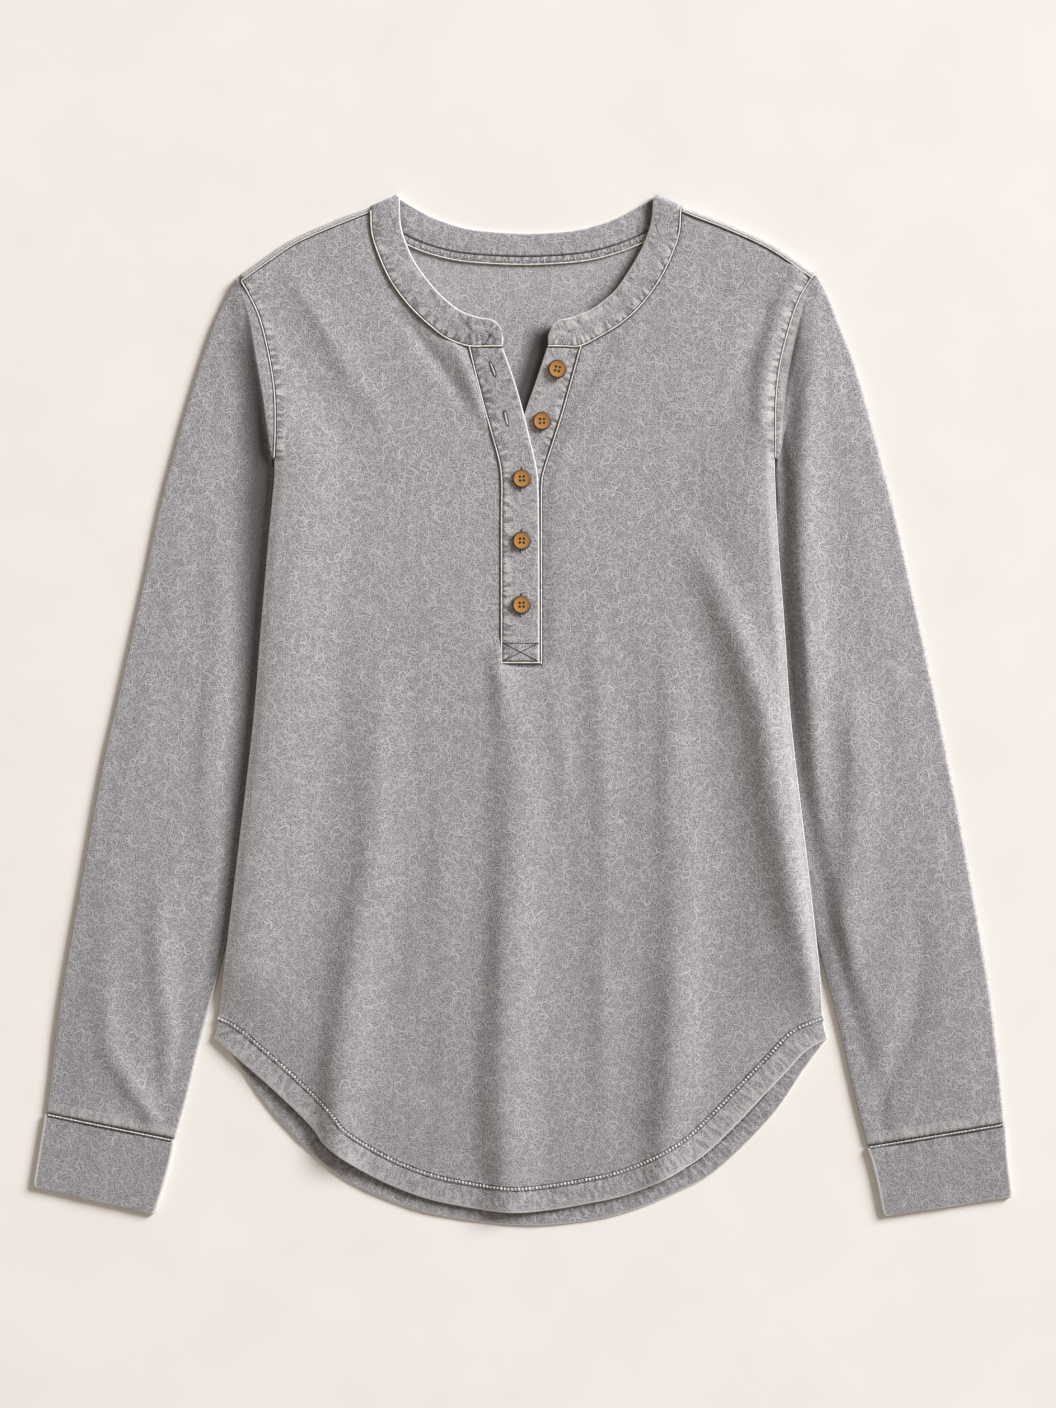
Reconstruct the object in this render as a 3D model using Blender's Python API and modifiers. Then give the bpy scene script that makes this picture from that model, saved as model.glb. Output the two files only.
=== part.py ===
"""A long-sleeved henley shirt laid flat on its back, buttoned up to the chest.

+X is to the right as one looks down at the front, +Y runs up to the neck, and +Z is up off the
surface that the shirt lies on. Every table is in millimetres; the meshes are in metres.
"""
import math

import bpy
import numpy as np

MM = 0.001

# Cloth
JERSEY = 1.2            # wall of single cloth
DOUBLED = 2.0           # wall of a band, placket or cuff, folded double
TAPE = 1.0              # wall of the neck tape
HEM_EXTRA = 0.5         # more wall where a hem is turned up
HEM_DEPTH = 15.5        # height of the turned-up hem
SEAM_GAP = 0.35         # between two pieces that are sewn edge to edge
LAYER_GAP = 0.3         # between two pieces that lie on each other

# How the layers lie
BODY_GAP = 2.3          # front above back at the shoulders, past LAYER_GAP
SKIRT_GAP = 1.6         # the same below the chest
GAP_EASE_Y = (-60.0, 150.0)      # where the one becomes the other
GAP_RANGE = (0.25, 3.5) # least and most that folds may leave of it
SIDE_FALL = 30.0        # the front comes down to the back over this distance from the side
SLEEVE_LIFT = 3.5       # how high the body's edge is held by the sleeve under it
LIFT_FLAT = 12.0        # the held-up strip at the body's edge
LIFT_RAMP = 34.0        # where the back reaches the surface again
LIFT_ENDS_Y = (-215.0, -168.0)   # the hem corner lies on the surface, the side above does not
ARMHOLE_CLIMB = 0.6     # how fast the lift dies out above the underarm
SHOULDER_ROLL = 4.0     # the back rolls over the shoulder edge this far
ROLL_RADIUS = 1.9       # of the roll's middle surface
BAND_ROLL_RADIUS = 2.0  # of the neckband's fold at each shoulder
BAND_INSET = 3.0        # from the neckband's fold to where it lies level
CORNER_EASE = 0.3       # more room for the back's roll beside the neckband and the sleeves

# Body sides, hem to underarm: a row is a height and the two edges there
BODY_SIDES = (  # y, left x, right x
    (-219.8, -206.5, 204.3),
    (-207.0, -203.7, 201.5),
    (-168.8, -200.0, 199.3),
    (-88.0, -190.6, 190.2),
    (-8.0, -181.2, 180.9),
    (55.6, -175.9, 176.4),
    (116.0, -170.5, 171.6),
    (154.0, -166.2, 169.0),
    (168.8, -165.8, 168.7),
)

# Armhole seams from the underarm to the shoulder edge
ARMHOLE_LEFT = (  # x, y
    (-165.8, 168.8),
    (-164.9, 187.6),
    (-165.5, 212.4),
    (-169.3, 237.0),
    (-175.4, 261.6),
    (-182.8, 278.1),
    (-190.0, 290.2),
)
ARMHOLE_RIGHT = (  # x, y
    (168.7, 168.8),
    (168.6, 187.0),
    (168.8, 205.4),
    (170.9, 226.7),
    (176.2, 250.2),
    (184.2, 274.2),
    (195.0, 292.6),
)

# Shoulder edges from the armhole to the neck
SHOULDER_LEFT = ((-190.0, 290.2), (-169.2, 305.1), (-153.1, 315.6), (-128.3, 326.7), (-103.1, 336.7))
SHOULDER_RIGHT = ((195.0, 292.6), (167.8, 311.2), (138.4, 325.0), (106.9, 337.1))

# Hems, left corner to right corner
HEM_FRONT = (  # x, y
    (-206.5, -219.8),
    (-175.2, -246.6),
    (-154.4, -265.7),
    (-140.0, -280.4),
    (-132.0, -291.0),
    (-113.6, -304.6),
    (-86.1, -318.9),
    (-51.9, -329.9),
    (-1.7, -336.1),
    (50.3, -329.0),
    (79.4, -320.9),
    (108.2, -306.6),
    (130.3, -289.8),
    (173.9, -244.8),
    (189.0, -229.0),
    (204.3, -219.8),
)
HEM_BACK = (  # x, y
    (-206.5, -219.8),
    (-195.6, -230.1),
    (-168.5, -268.4),
    (-141.0, -297.1),
    (-120.3, -313.6),
    (-92.8, -327.2),
    (-58.8, -338.1),
    (-1.7, -345.4),
    (43.0, -342.2),
    (72.0, -335.7),
    (101.2, -324.0),
    (130.3, -308.0),
    (166.5, -272.4),
    (189.0, -240.0),
    (204.3, -219.8),
)

# Neckband: a row is a section from the seam edge to the free edge, with its middle height
BAND_TOP_Z = 5.0
BAND_LEFT = (  # seam x, seam y, free x, free y, z: shoulder to placket
    (-101.6, 334.0, -82.1, 342.4, 5.0),
    (-100.6, 318.5, -81.3, 325.0, 5.0),
    (-95.8, 303.5, -77.8, 312.5, 5.0),
    (-89.0, 288.6, -71.5, 299.0, 5.0),
    (-81.0, 276.8, -64.5, 289.0, 5.0),
    (-72.0, 266.4, -57.0, 280.0, 5.0),
    (-61.5, 256.8, -48.5, 272.2, 5.0),
    (-50.0, 248.3, -40.5, 266.6, 5.0),
    (-35.6, 243.4, -28.5, 262.5, 4.9),
)
BAND_LEFT_END = (
    (-22.0, 243.4, -20.6, 261.2, 4.9),
    (-15.6, 243.4, -14.8, 256.0, 4.9),
    (-12.9, 243.4, -12.9, 247.6, 4.9),
)
BAND_RIGHT = (
    (105.6, 334.6, 87.5, 342.4, 5.0),
    (104.6, 319.5, 86.0, 327.0, 5.0),
    (100.0, 305.3, 82.0, 314.0, 5.0),
    (93.8, 291.8, 76.3, 302.3, 5.0),
    (86.3, 280.0, 69.5, 291.3, 5.0),
    (77.4, 269.0, 62.0, 280.8, 5.0),
    (67.5, 260.0, 54.0, 273.6, 4.8),
    (55.5, 252.2, 45.0, 267.4, 4.3),
    (38.9, 243.6, 32.5, 262.4, 3.3),
)
BAND_RIGHT_END = (
    (27.7, 243.4, 25.8, 261.2, 3.2),
    (20.8, 243.4, 20.0, 257.2, 3.2),
    (17.1, 243.4, 17.1, 249.0, 3.2),
)
BAND_BACK = (  # the same, left shoulder to right shoulder, lying on the surface
    (-101.6, 334.0, -82.1, 342.4, 1.0),
    (-90.0, 325.8, -73.0, 337.0, 1.0),
    (-76.0, 317.2, -62.0, 331.0, 1.0),
    (-58.0, 310.2, -48.0, 325.6, 1.0),
    (-36.0, 305.8, -30.0, 321.4, 1.0),
    (2.0, 303.9, 2.0, 319.3, 1.0),
    (38.0, 306.0, 33.0, 321.0, 1.0),
    (60.0, 311.0, 52.0, 325.4, 1.0),
    (78.0, 318.0, 66.0, 331.0, 1.0),
    (92.0, 325.8, 78.0, 337.6, 1.0),
    (105.6, 334.6, 87.5, 342.4, 1.0),
)
TAPE_WIDTH = 5.4
TAPE_INSET = 0.6        # from the back's neck edge to the tape
TAPE_ENDS = 12.0        # how far short of the shoulder fold the tape stops

# Plackets: a row is a section, left edge to right edge, neckband to bottom
PLACKET_OVER = (  # left x, right x, y
    (-35.3, -13.4, 242.9),
    (-30.0, -5.6, 221.0),
    (-24.4, 0.6, 199.5),
    (-19.4, 4.8, 182.0),
    (-15.1, 8.9, 166.0),
    (-13.6, 10.8, 153.0),
    (-13.7, 11.7, 127.0),
    (-13.7, 12.0, 79.0),
    (-13.7, 12.0, 31.2),
)
PLACKET_UNDER = (
    (16.6, 38.5, 242.9),
    (9.3, 32.5, 221.0),
    (1.4, 26.2, 198.6),
    (-4.4, 20.3, 180.0),
    (-10.0, 14.8, 163.0),
    (-13.0, 12.5, 152.0),
    (-13.2, 12.3, 127.0),
    (-13.2, 12.3, 79.0),
    (-13.2, 12.3, 31.2),
)
PLACKET_FOOT_Y = 30.8
OVER_Z = 4.8            # middle height of the upper placket
UNDER_Z = 2.5           # of the lower one where the upper lies on it
UNDER_RISE = 0.7        # how much the lower one comes up towards the neckband
UNDER_RISE_Y = (198.0, 240.0)
PLACKET_DIP = 1.8       # the front comes down to the lower placket's seam
PLACKET_DIP_WIDTH = 11.0

# Sleeves: a row is a section from the outer edge to the edge beside the body, with its fullness
SLEEVE_LEFT = (  # outer x, outer y, inner x, inner y, full
    (-198.5, 275.5, -166.9, 161.0, 1.6),
    (-208.0, 254.0, -167.4, 151.0, 1.9),
    (-217.5, 226.0, -168.6, 138.0, 2.2),
    (-229.5, 186.0, -164.5, 116.0, 2.4),
    (-242.0, 139.0, -162.5, 85.0, 2.6),
    (-255.5, 77.0, -167.5, 42.0, 2.6),
    (-267.7, 22.0, -172.5, -12.0, 2.6),
    (-281.0, -36.0, -180.0, -62.0, 2.4),
    (-294.0, -107.0, -191.5, -124.0, 2.4),
    (-304.0, -163.0, -203.2, -176.0, 2.4),
    (-311.5, -208.0, -214.5, -217.0, 2.2),
    (-316.0, -247.0, -224.6, -259.0, 2.2),
    (-318.8, -269.8, -232.4, -287.4, 1.8),
)
SLEEVE_RIGHT = (
    (204.5, 276.5, 169.8, 161.0, 1.6),
    (213.0, 255.0, 170.2, 151.0, 1.9),
    (223.0, 229.0, 170.8, 138.0, 2.2),
    (235.5, 185.0, 167.2, 116.0, 2.4),
    (248.0, 137.5, 164.5, 85.0, 2.6),
    (262.0, 75.0, 168.3, 42.0, 2.6),
    (273.5, 22.0, 172.5, -12.0, 2.6),
    (285.5, -36.0, 178.8, -62.0, 2.4),
    (299.0, -107.0, 189.6, -124.0, 2.4),
    (308.8, -163.0, 202.6, -176.0, 2.4),
    (315.5, -208.0, 213.0, -217.0, 2.2),
    (320.0, -250.0, 222.5, -259.0, 2.2),
    (322.6, -276.5, 230.8, -291.9, 1.8),
)
SLEEVE_FLAT = 2.6       # middle height of the sleeve's upper wall under the body
SLEEVE_RISE = (14.0, 45.0)   # distance from the inner edge over which it fills out
SLEEVE_EDGE = 25.0      # and from the outer edge over which it comes down
SLEEVE_EDGE_FALL = 0.35 # share of the fullness that it loses there
SLEEVE_FULLEST = 3.2    # most that the upper wall rises above level
SLEEVE_BUNCHING = 1.15  # over 1, the sections lie closer together near the armhole
CAP_FOLD = 7.0          # width of the strip of sleeve that lies level beside the armhole
CAP_DROP = 3.6          # further width over which it steps down to the sleeve
CAP_BOW = 0.8           # under 1, the strip widens quickly from its two ends
CAP_DROP_RUN = 0.35     # share of the armhole over which the step grows, shoulder downwards
UNDERARM_DECAY = (1.0, 0.85, 0.55, 0.35, 0.12)   # lift of the first rings, armhole outwards

# Cuffs: a row is a section like a sleeve's
CUFF_LEFT = (  # outer x, outer y, inner x, inner y
    (-319.0, -270.6, -233.2, -288.2),
    (-322.6, -292.0, -238.0, -309.5),
    (-327.2, -319.4, -246.6, -337.6),
)
CUFF_RIGHT = (
    (322.9, -277.4, 231.2, -292.8),
    (324.6, -301.5, 236.2, -309.5),
    (327.6, -326.0, 242.2, -339.0),
)
CUFF_INNER_GAP = 0.8

# Folds: a row is a ridge (or a trough, where height is negative) along a line
BODY_FOLDS = (  # x0, y0, x1, y1, half width, height
    (-105.5, 25.0, -114.0, -130.0, 14.0, 1.7),
    (-114.0, -130.0, -126.0, -262.0, 14.0, 1.7),
    (-137.0, -150.0, -137.0, -285.0, 12.0, -0.9),
    (-84.0, -60.0, -80.0, -290.0, 16.0, -0.6),
    (-12.0, 10.0, -10.0, -130.0, 13.0, 1.6),
    (-10.0, -130.0, -12.0, -330.0, 14.0, 1.7),
    (-34.0, -60.0, -37.0, -300.0, 12.0, -0.8),
    (17.0, -60.0, 20.0, -300.0, 13.0, -0.7),
    (53.0, 6.0, 58.0, -95.0, 10.0, 0.9),
    (108.0, -70.0, 98.0, -300.0, 14.0, 1.7),
    (76.0, -110.0, 70.0, -280.0, 12.0, -0.8),
    (127.0, 100.0, 150.0, 5.0, 14.0, 1.0),
    (150.0, 5.0, 178.0, -140.0, 13.0, 1.5),
    (130.0, 30.0, 150.0, -120.0, 12.0, -0.8),
    (-150.0, 272.0, -110.0, 218.0, 9.0, -0.7),
    (168.0, 276.0, 148.0, 222.0, 9.0, -0.7),
    (-57.0, 241.0, -30.0, 205.0, 7.0, -0.8),
    (58.0, 238.0, 34.0, 204.0, 7.0, -0.7),
)
LEFT_SLEEVE_FOLDS = (
    (-287.0, -205.0, -256.0, -262.0, 9.0, -1.3),
    (-248.0, -196.0, -236.0, -272.0, 8.0, -1.2),
    (-268.0, -110.0, -250.0, -185.0, 10.0, -1.0),
    (-270.0, -215.0, -247.0, -262.0, 7.0, 0.6),
)
RIGHT_SLEEVE_FOLDS = (
    (272.0, -195.0, 240.0, -268.0, 9.0, -1.3),
    (252.0, -60.0, 258.0, -200.0, 12.0, 0.6),
    (232.0, -80.0, 232.0, -180.0, 10.0, -0.9),
)

# Buttons
BUTTON_RADIUS = 6.0
BUTTON_THICK = 2.6
BUTTON_DISH = 0.45      # depth of the middle below the rim
BUTTON_RIM = 1.3
BUTTON_ROUND = 0.5
HOLE_RADIUS = 0.8
HOLE_PITCH = 2.7
HOLE_TURN = math.radians(12.0)
BUTTONS = (  # x, y, height of the cloth under it
    (23.4, 227.9, UNDER_Z + UNDER_RISE + DOUBLED / 2),
    (13.1, 193.2, UNDER_Z + UNDER_RISE / 4 + DOUBLED / 2),
    (-0.4, 154.6, OVER_Z + DOUBLED / 2),
    (-0.4, 113.1, OVER_Z + DOUBLED / 2),
    (-0.6, 70.3, OVER_Z + DOUBLED / 2),
)

# How finely the pieces are divided
FINE_STEPS = 24         # points of a smooth line between two rows of its table
NECK_COLUMNS = 16
BACK_COLUMNS = (0, 1, 2, 3, 4, 6, 8, 10, 12, 14, 16)    # those of the front that one half of the back has
STRIP_COLUMNS = 2
SIDE_ROWS = 13
ARMHOLE_ROWS = 7
SHOULDER_ROWS = 6
NOTCH_ROWS = 17
SLEEVE_ROWS = 14
BAND_COLUMNS = 3
PLACKET_COLUMNS = 3
TAPE_COLUMNS = 16
ROLL_STEPS = 4
BUTTON_SIDES = 20

# Colours
JERSEY_GREY = (0.31, 0.30, 0.30, 1.0)
JERSEY_SHADE = (0.27, 0.26, 0.26, 1.0)
BUTTON_TAN = (0.50, 0.25, 0.07, 1.0)


# ---------------------------------------------------------------- lines and fields

def smoothstep(low, high, value):
    """Rise from 0 at low to 1 at high, level at both ends."""
    t = np.clip((np.asarray(value, float) - low) / (high - low), 0.0, 1.0)
    return t * t * (3.0 - 2.0 * t)


def spline(points, steps=12):
    """A dense line that passes smoothly through the points."""
    p = np.asarray(points, float)
    p = np.vstack([2 * p[0] - p[1], p, 2 * p[-1] - p[-2]])
    t = np.arange(steps)[:, None] / steps
    pieces = []
    for a, b, c, d in zip(p, p[1:], p[2:], p[3:]):
        bend = (2 * a - 5 * b + 4 * c - d) * t**2 + (3 * b - a - 3 * c + d) * t**3
        pieces.append(b + 0.5 * ((c - a) * t + bend))
    pieces.append(p[-2:-1])
    return np.vstack(pieces)


def reach(line):
    """Distance along a line at each of its points."""
    steps = np.linalg.norm(np.diff(line[:, :2], axis=0), axis=1)
    return np.concatenate([[0.0], np.cumsum(steps)])


def at(line, distances):
    """The points of a line at these distances along it."""
    run = reach(line)
    return np.column_stack([np.interp(distances, run, line[:, k]) for k in range(line.shape[1])])


def even(line, count):
    """Points that split a line into equal lengths."""
    return at(line, np.linspace(0.0, reach(line)[-1], count + 1))


def sampled(table, count):
    """Rows between those of a table, smooth in every column."""
    dense = spline(table, FINE_STEPS)
    return dense[np.linspace(0, len(dense) - 1, count + 1).round().astype(int)]


def sideways(line, distance):
    """A line moved to its left by a distance."""
    run = np.gradient(line[:, :2], axis=0)
    run /= np.linalg.norm(run, axis=1)[:, None]
    return line[:, :2] + distance * np.column_stack([-run[:, 1], run[:, 0]])


def patch(bottom, top, left, right):
    """Rows of points that fill four boundary lines which meet at their ends."""
    across = (reach(bottom) / reach(bottom)[-1] + reach(top) / reach(top)[-1]) / 2
    up = (reach(left) / reach(left)[-1] + reach(right) / reach(right)[-1]) / 2
    u = across[None, :, None]
    v = up[:, None, None]
    rows = (1 - v) * bottom[None] + v * top[None]
    columns = (1 - u) * left[:, None] + u * right[:, None]
    low = (1 - u) * bottom[0] + u * bottom[-1]
    high = (1 - u) * top[0] + u * top[-1]
    return rows + columns - (1 - v) * low - v * high


def fold_height(x, y, folds):
    """Sum of the ridges and troughs of a table at each point."""
    total = np.zeros(np.shape(x))
    for x0, y0, x1, y1, width, height in folds:
        run = np.array([x1 - x0, y1 - y0])
        length = np.linalg.norm(run)
        run = run / length
        along = (x - x0) * run[0] + (y - y0) * run[1]
        aside = (x - x0) * run[1] - (y - y0) * run[0]
        past = np.maximum(0.0, np.maximum(-along, along - length))
        total += height * np.exp(-(aside / width) ** 2 - (past / (2 * width)) ** 2)
    return total


def inside_side(x, y):
    """Distance inwards from the nearer side seam, growing above the underarm."""
    heights, left, right = np.array(BODY_SIDES).T
    from_left = x - np.interp(y, heights, left)
    from_right = np.interp(y, heights, right) - x
    climb = ARMHOLE_CLIMB * np.maximum(0.0, y - heights[-1])
    return np.minimum(from_left, from_right) + climb


def body_lift(x, y):
    """Height of the back's underside over the sleeves."""
    strip = 1.0 - smoothstep(LIFT_FLAT, LIFT_RAMP, inside_side(x, y))
    return SLEEVE_LIFT * strip * smoothstep(*LIFT_ENDS_Y, y)


def back_middle(x, y):
    return JERSEY / 2 + body_lift(x, y)


def front_middle(x, y):
    """Height of the middle of the front's wall."""
    loose = SKIRT_GAP + (BODY_GAP - SKIRT_GAP) * smoothstep(*GAP_EASE_Y, y)
    under = np.array(PLACKET_UNDER)[::-1]
    from_seam = x - np.interp(y, under[:, 2], under[:, 1])
    beside = (from_seam > -1.0) * (y > PLACKET_FOOT_Y)
    dip = PLACKET_DIP * beside * (1.0 - smoothstep(0.0, PLACKET_DIP_WIDTH, from_seam))
    gap = np.clip(loose + fold_height(x, y, BODY_FOLDS) - dip, *GAP_RANGE)
    gap = gap * smoothstep(0.0, SIDE_FALL, inside_side(x, y))
    return back_middle(x, y) + JERSEY + LAYER_GAP + gap


# ---------------------------------------------------------------- meshes

def new_material(name, colour, roughness):
    material = bpy.data.materials.new(name)
    material.use_nodes = True
    shader = material.node_tree.nodes["Principled BSDF"]
    shader.inputs["Base Color"].default_value = colour
    shader.inputs["Roughness"].default_value = roughness
    shader.inputs["Metallic"].default_value = 0.0
    material.diffuse_color = colour
    return material


def new_object(name, mesh, material, collection):
    piece = bpy.data.objects.new(name, mesh)
    mesh.materials.clear()
    mesh.materials.append(material)
    collection.objects.link(piece)
    return piece


def cloth(name, grid, wall, material, collection, keep=None, ring=False, extra=None):
    """A wall of cloth round a middle surface given as rows of points.

    keep says which cells of the grid are cloth, ring joins the last column to the first, and
    extra is a share of wall added at each point.
    """
    rows, columns = grid.shape[:2]
    faces = []
    for i in range(rows - 1):
        for j in range(columns if ring else columns - 1):
            if keep is None or keep[i, j]:
                right = (j + 1) % columns
                faces.append((i * columns + j, i * columns + right,
                              (i + 1) * columns + right, (i + 1) * columns + j))
    used = sorted({corner for face in faces for corner in face})
    number = {corner: k for k, corner in enumerate(used)}
    points = grid.reshape(-1, 3)[used] * MM
    mesh = bpy.data.meshes.new(name)
    mesh.from_pydata(points.tolist(), [], [[number[c] for c in face] for face in faces])
    piece = new_object(name, mesh, material, collection)
    for polygon in mesh.polygons:
        polygon.use_smooth = True
    solid = piece.modifiers.new("wall", "SOLIDIFY")
    solid.thickness = wall * MM
    solid.offset = 0.0
    solid.use_rim = True
    if extra is not None:
        share = extra.reshape(-1)[used]
        full = 1.0 + share.max()
        group = piece.vertex_groups.new(name="wall")
        for k, more in enumerate(share):
            group.add([k], float((1.0 + more) / full), "REPLACE")
        solid.thickness = wall * full * MM
        solid.vertex_group = group.name
    return piece


def with_height(plan, height):
    return np.concatenate([plan, np.asarray(height)[..., None]], axis=-1)


# ---------------------------------------------------------------- body

def unit(vector):
    return vector / np.linalg.norm(vector)


def fold_out(section):
    """The way out of the neckband's fold, square to a section at the shoulder."""
    run = unit(section[2:4] - section[0:2])
    out = np.array([-run[1], run[0]])
    return out if out[1] > 0 else -out


def side_line(column):
    """One side seam, hem to underarm."""
    table = np.array(BODY_SIDES)
    line = spline(table[:, [column, 0]])
    length = reach(line)[-1]
    return at(line, np.concatenate([[0.0], np.linspace(HEM_DEPTH, length, SIDE_ROWS + 1)]))


def armhole_line(table, inset):
    """An armhole seam, underarm to a point short of the shoulder edge."""
    line = spline(table)
    length = reach(line)[-1]
    places = np.linspace(0.0, length - ROLL_RADIUS - JERSEY / 2, ARMHOLE_ROWS + 1)
    places[-1] = length - inset
    return at(line, places)


def neck_line(sections, side):
    """A neckband's seam edge moved outwards by the seam gap."""
    return sideways(sections[:, :2], side * SEAM_GAP)


def outer_line(side, inset, neck_corner):
    """The edge of a panel from the hem up the side, round the armhole and along the shoulder."""
    left = side < 0
    armhole = armhole_line(ARMHOLE_LEFT if left else ARMHOLE_RIGHT, inset)
    edge = even(spline(SHOULDER_LEFT if left else SHOULDER_RIGHT), SHOULDER_ROWS)
    shoulder = sideways(edge, side * inset)
    shoulder[-1] = neck_corner
    return np.vstack([side_line(1 if left else 2), armhole[1:], shoulder[1:]])


def turned_up(rows, columns):
    """The share of wall that the turned-up hem adds."""
    share = np.zeros((rows, columns))
    share[:2] = HEM_EXTRA / JERSEY
    return share


def hem_line(table, left_x, right_x, shares):
    """A stretch of a hem between two places, divided by shares of its length."""
    line = spline(table)
    run = reach(line)
    start, end = np.interp([left_x, right_x], line[:, 0], run)
    return at(line, start + (end - start) * np.asarray(shares))


def front_half(side):
    """Rows of points of one half of the front, side seam to placket."""
    left = side < 0
    neck = neck_line(sampled(BAND_LEFT if left else BAND_RIGHT, NECK_COLUMNS), side)
    neck[0] += unit(neck[1] - neck[0]) * (SHOULDER_ROLL - BAND_INSET)
    outer = outer_line(side, SHOULDER_ROLL, neck[0])
    placket = sampled(PLACKET_OVER if left else PLACKET_UNDER, NOTCH_ROWS)[::-1]
    seam = np.column_stack([placket[:, 0 if left else 1] + side * SEAM_GAP, placket[:, 2]])
    seam[0, 1] = PLACKET_FOOT_Y
    seam[-1] = neck[-1]
    shares = np.linspace(0.0, 1.0, NECK_COLUMNS + 1)
    if left:
        hem = hem_line(HEM_FRONT, HEM_FRONT[0][0], seam[0, 0], shares)
    else:
        hem = hem_line(HEM_FRONT, seam[0, 0], HEM_FRONT[-1][0], shares)[::-1]
    lower_rows = len(outer) - 1 - NOTCH_ROWS
    heights = np.linspace(hem[-1, 1] + HEM_DEPTH, PLACKET_FOOT_Y, lower_rows)
    below = np.column_stack([np.full(lower_rows, seam[0, 0]), heights])
    middle = np.vstack([hem[-1:], below, seam[1:]])
    return patch(hem, neck, outer, middle)


def make_front(material, collection):
    left = front_half(-1)
    right = front_half(1)[:, ::-1]
    start, end = left[:, -1:], right[:, :1]
    share = np.linspace(0.0, 1.0, STRIP_COLUMNS + 1)[1:-1, None]
    strip = start + (end - start) * share[None]
    line = spline(HEM_FRONT)
    strip[0, :, 1] = np.interp(strip[0, :, 0], line[:, 0], line[:, 1])
    plan = np.concatenate([left, strip, right], axis=1)
    rows, columns = plan.shape[:2]
    keep = np.ones((rows - 1, columns - 1), bool)
    keep[rows - 1 - NOTCH_ROWS:, NECK_COLUMNS:NECK_COLUMNS + STRIP_COLUMNS] = False
    share = turned_up(rows, columns)
    both_hems = share * JERSEY + share * JERSEY / 2
    height = front_middle(plan[..., 0], plan[..., 1]) + both_hems
    return cloth("front", with_height(plan, height), JERSEY, material, collection, keep, extra=share)


def shoulder_roll(edge, armhole_end, section):
    """Columns that roll a shoulder edge of the back up and over, edge first."""
    out = np.gradient(edge, axis=0)
    out = np.column_stack([-out[:, 1], out[:, 0]])
    out *= np.sign(out[0, 1])
    out[0] = armhole_end
    out[-1] = fold_out(section)
    out /= np.linalg.norm(out, axis=1)[:, None]
    columns = []
    for angle in np.linspace(0.0, math.pi, ROLL_STEPS + 1)[1:]:
        height = JERSEY / 2 + ROLL_RADIUS * (1 - math.cos(angle))
        plan = edge + out * ROLL_RADIUS * math.sin(angle)
        columns.append(with_height(plan, np.full(len(edge), height)))
    width = np.full(len(edge), SHOULDER_ROLL - SEAM_GAP - ROLL_RADIUS - JERSEY / 2)
    width[-1] = SHOULDER_ROLL - SEAM_GAP - BAND_INSET - CORNER_EASE
    columns.append(with_height(edge - out * width[:, None], columns[-1][:, 2]))
    return np.array(columns)


def make_back(material, collection):
    """The back, with the roll that brings its shoulder edges over to the front."""
    inset = ROLL_RADIUS + JERSEY / 2
    sections = back_band()
    neck = neck_line(sections, -1)
    neck[0] -= CORNER_EASE * unit(sections[0, 2:4] - sections[0, 0:2])
    neck[-1] -= CORNER_EASE * unit(sections[-1, 2:4] - sections[-1, 0:2])
    left = outer_line(-1, inset, neck[0])
    right = outer_line(1, inset, neck[-1])
    hem = hem_line(HEM_BACK, HEM_BACK[0][0], HEM_BACK[-1][0], back_shares())
    plan = patch(hem, neck, left, right)
    rows, columns = plan.shape[:2]
    share = turned_up(rows, columns)
    height = back_middle(plan[..., 0], plan[..., 1]) + share * JERSEY / 2
    grid = with_height(plan, height)
    first = rows - 1 - SHOULDER_ROWS
    added = ROLL_STEPS + 1
    wide = np.zeros((rows, columns + 2 * added, 3))
    wide[:, added:-added] = grid
    for edge, section, way in ((left, sections[0], -1), (right, sections[-1], 1)):
        roll = shoulder_roll(edge[first:], edge[first] - edge[first - 1], section)
        for k, column in enumerate(roll):
            wide[first:, added - 1 - k if way < 0 else columns + added + k] = column
    keep = np.ones((rows - 1, columns + 2 * added - 1), bool)
    keep[:first, :added] = False
    keep[:first, -added:] = False
    share = turned_up(rows, columns + 2 * added)
    return cloth("back", wide, JERSEY, material, collection, keep, extra=share)


# ---------------------------------------------------------------- neck

def back_shares():
    """Places of the back's columns across it, finer towards the sides."""
    half = np.array(BACK_COLUMNS) / (2.0 * NECK_COLUMNS)
    return np.concatenate([half, 1.0 - half[-2::-1]])


def back_band():
    """Sections of the neckband along the back, one at each column of the back."""
    dense = spline(BAND_BACK, FINE_STEPS)
    return at(dense, reach(dense)[-1] * back_shares())


def band_fold(section):
    """The sections of the half turn at a shoulder, from the upper level to the lower."""
    out = fold_out(section)
    rows = []
    for angle in np.linspace(0.0, math.pi, ROLL_STEPS + 1)[1:-1]:
        shift = out * BAND_ROLL_RADIUS * math.sin(angle)
        height = BAND_TOP_Z - BAND_ROLL_RADIUS * (1 - math.cos(angle))
        rows.append(np.concatenate([section[0:2] + shift, section[2:4] + shift, [height]]))
    return rows


def across(sections, columns):
    """Points from the first edge to the second of each section."""
    share = np.linspace(0.0, 1.0, columns + 1)[None, :, None]
    plan = sections[:, None, 0:2] * (1 - share) + sections[:, None, 2:4] * share
    return with_height(plan, np.repeat(sections[:, 4:5], columns + 1, axis=1))


def make_neckband(material, collection):
    left = sampled(BAND_LEFT, NECK_COLUMNS)
    right = sampled(BAND_RIGHT, NECK_COLUMNS)
    sections = [*np.array(BAND_LEFT_END)[::-1], *left[::-1]]
    sections += band_fold(left[0])
    sections += [*back_band()]
    sections += band_fold(right[0])[::-1]
    sections += [*right, *np.array(BAND_RIGHT_END)]
    grid = across(np.array(sections), BAND_COLUMNS)
    return cloth("neckband", grid, DOUBLED, material, collection)


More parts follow.
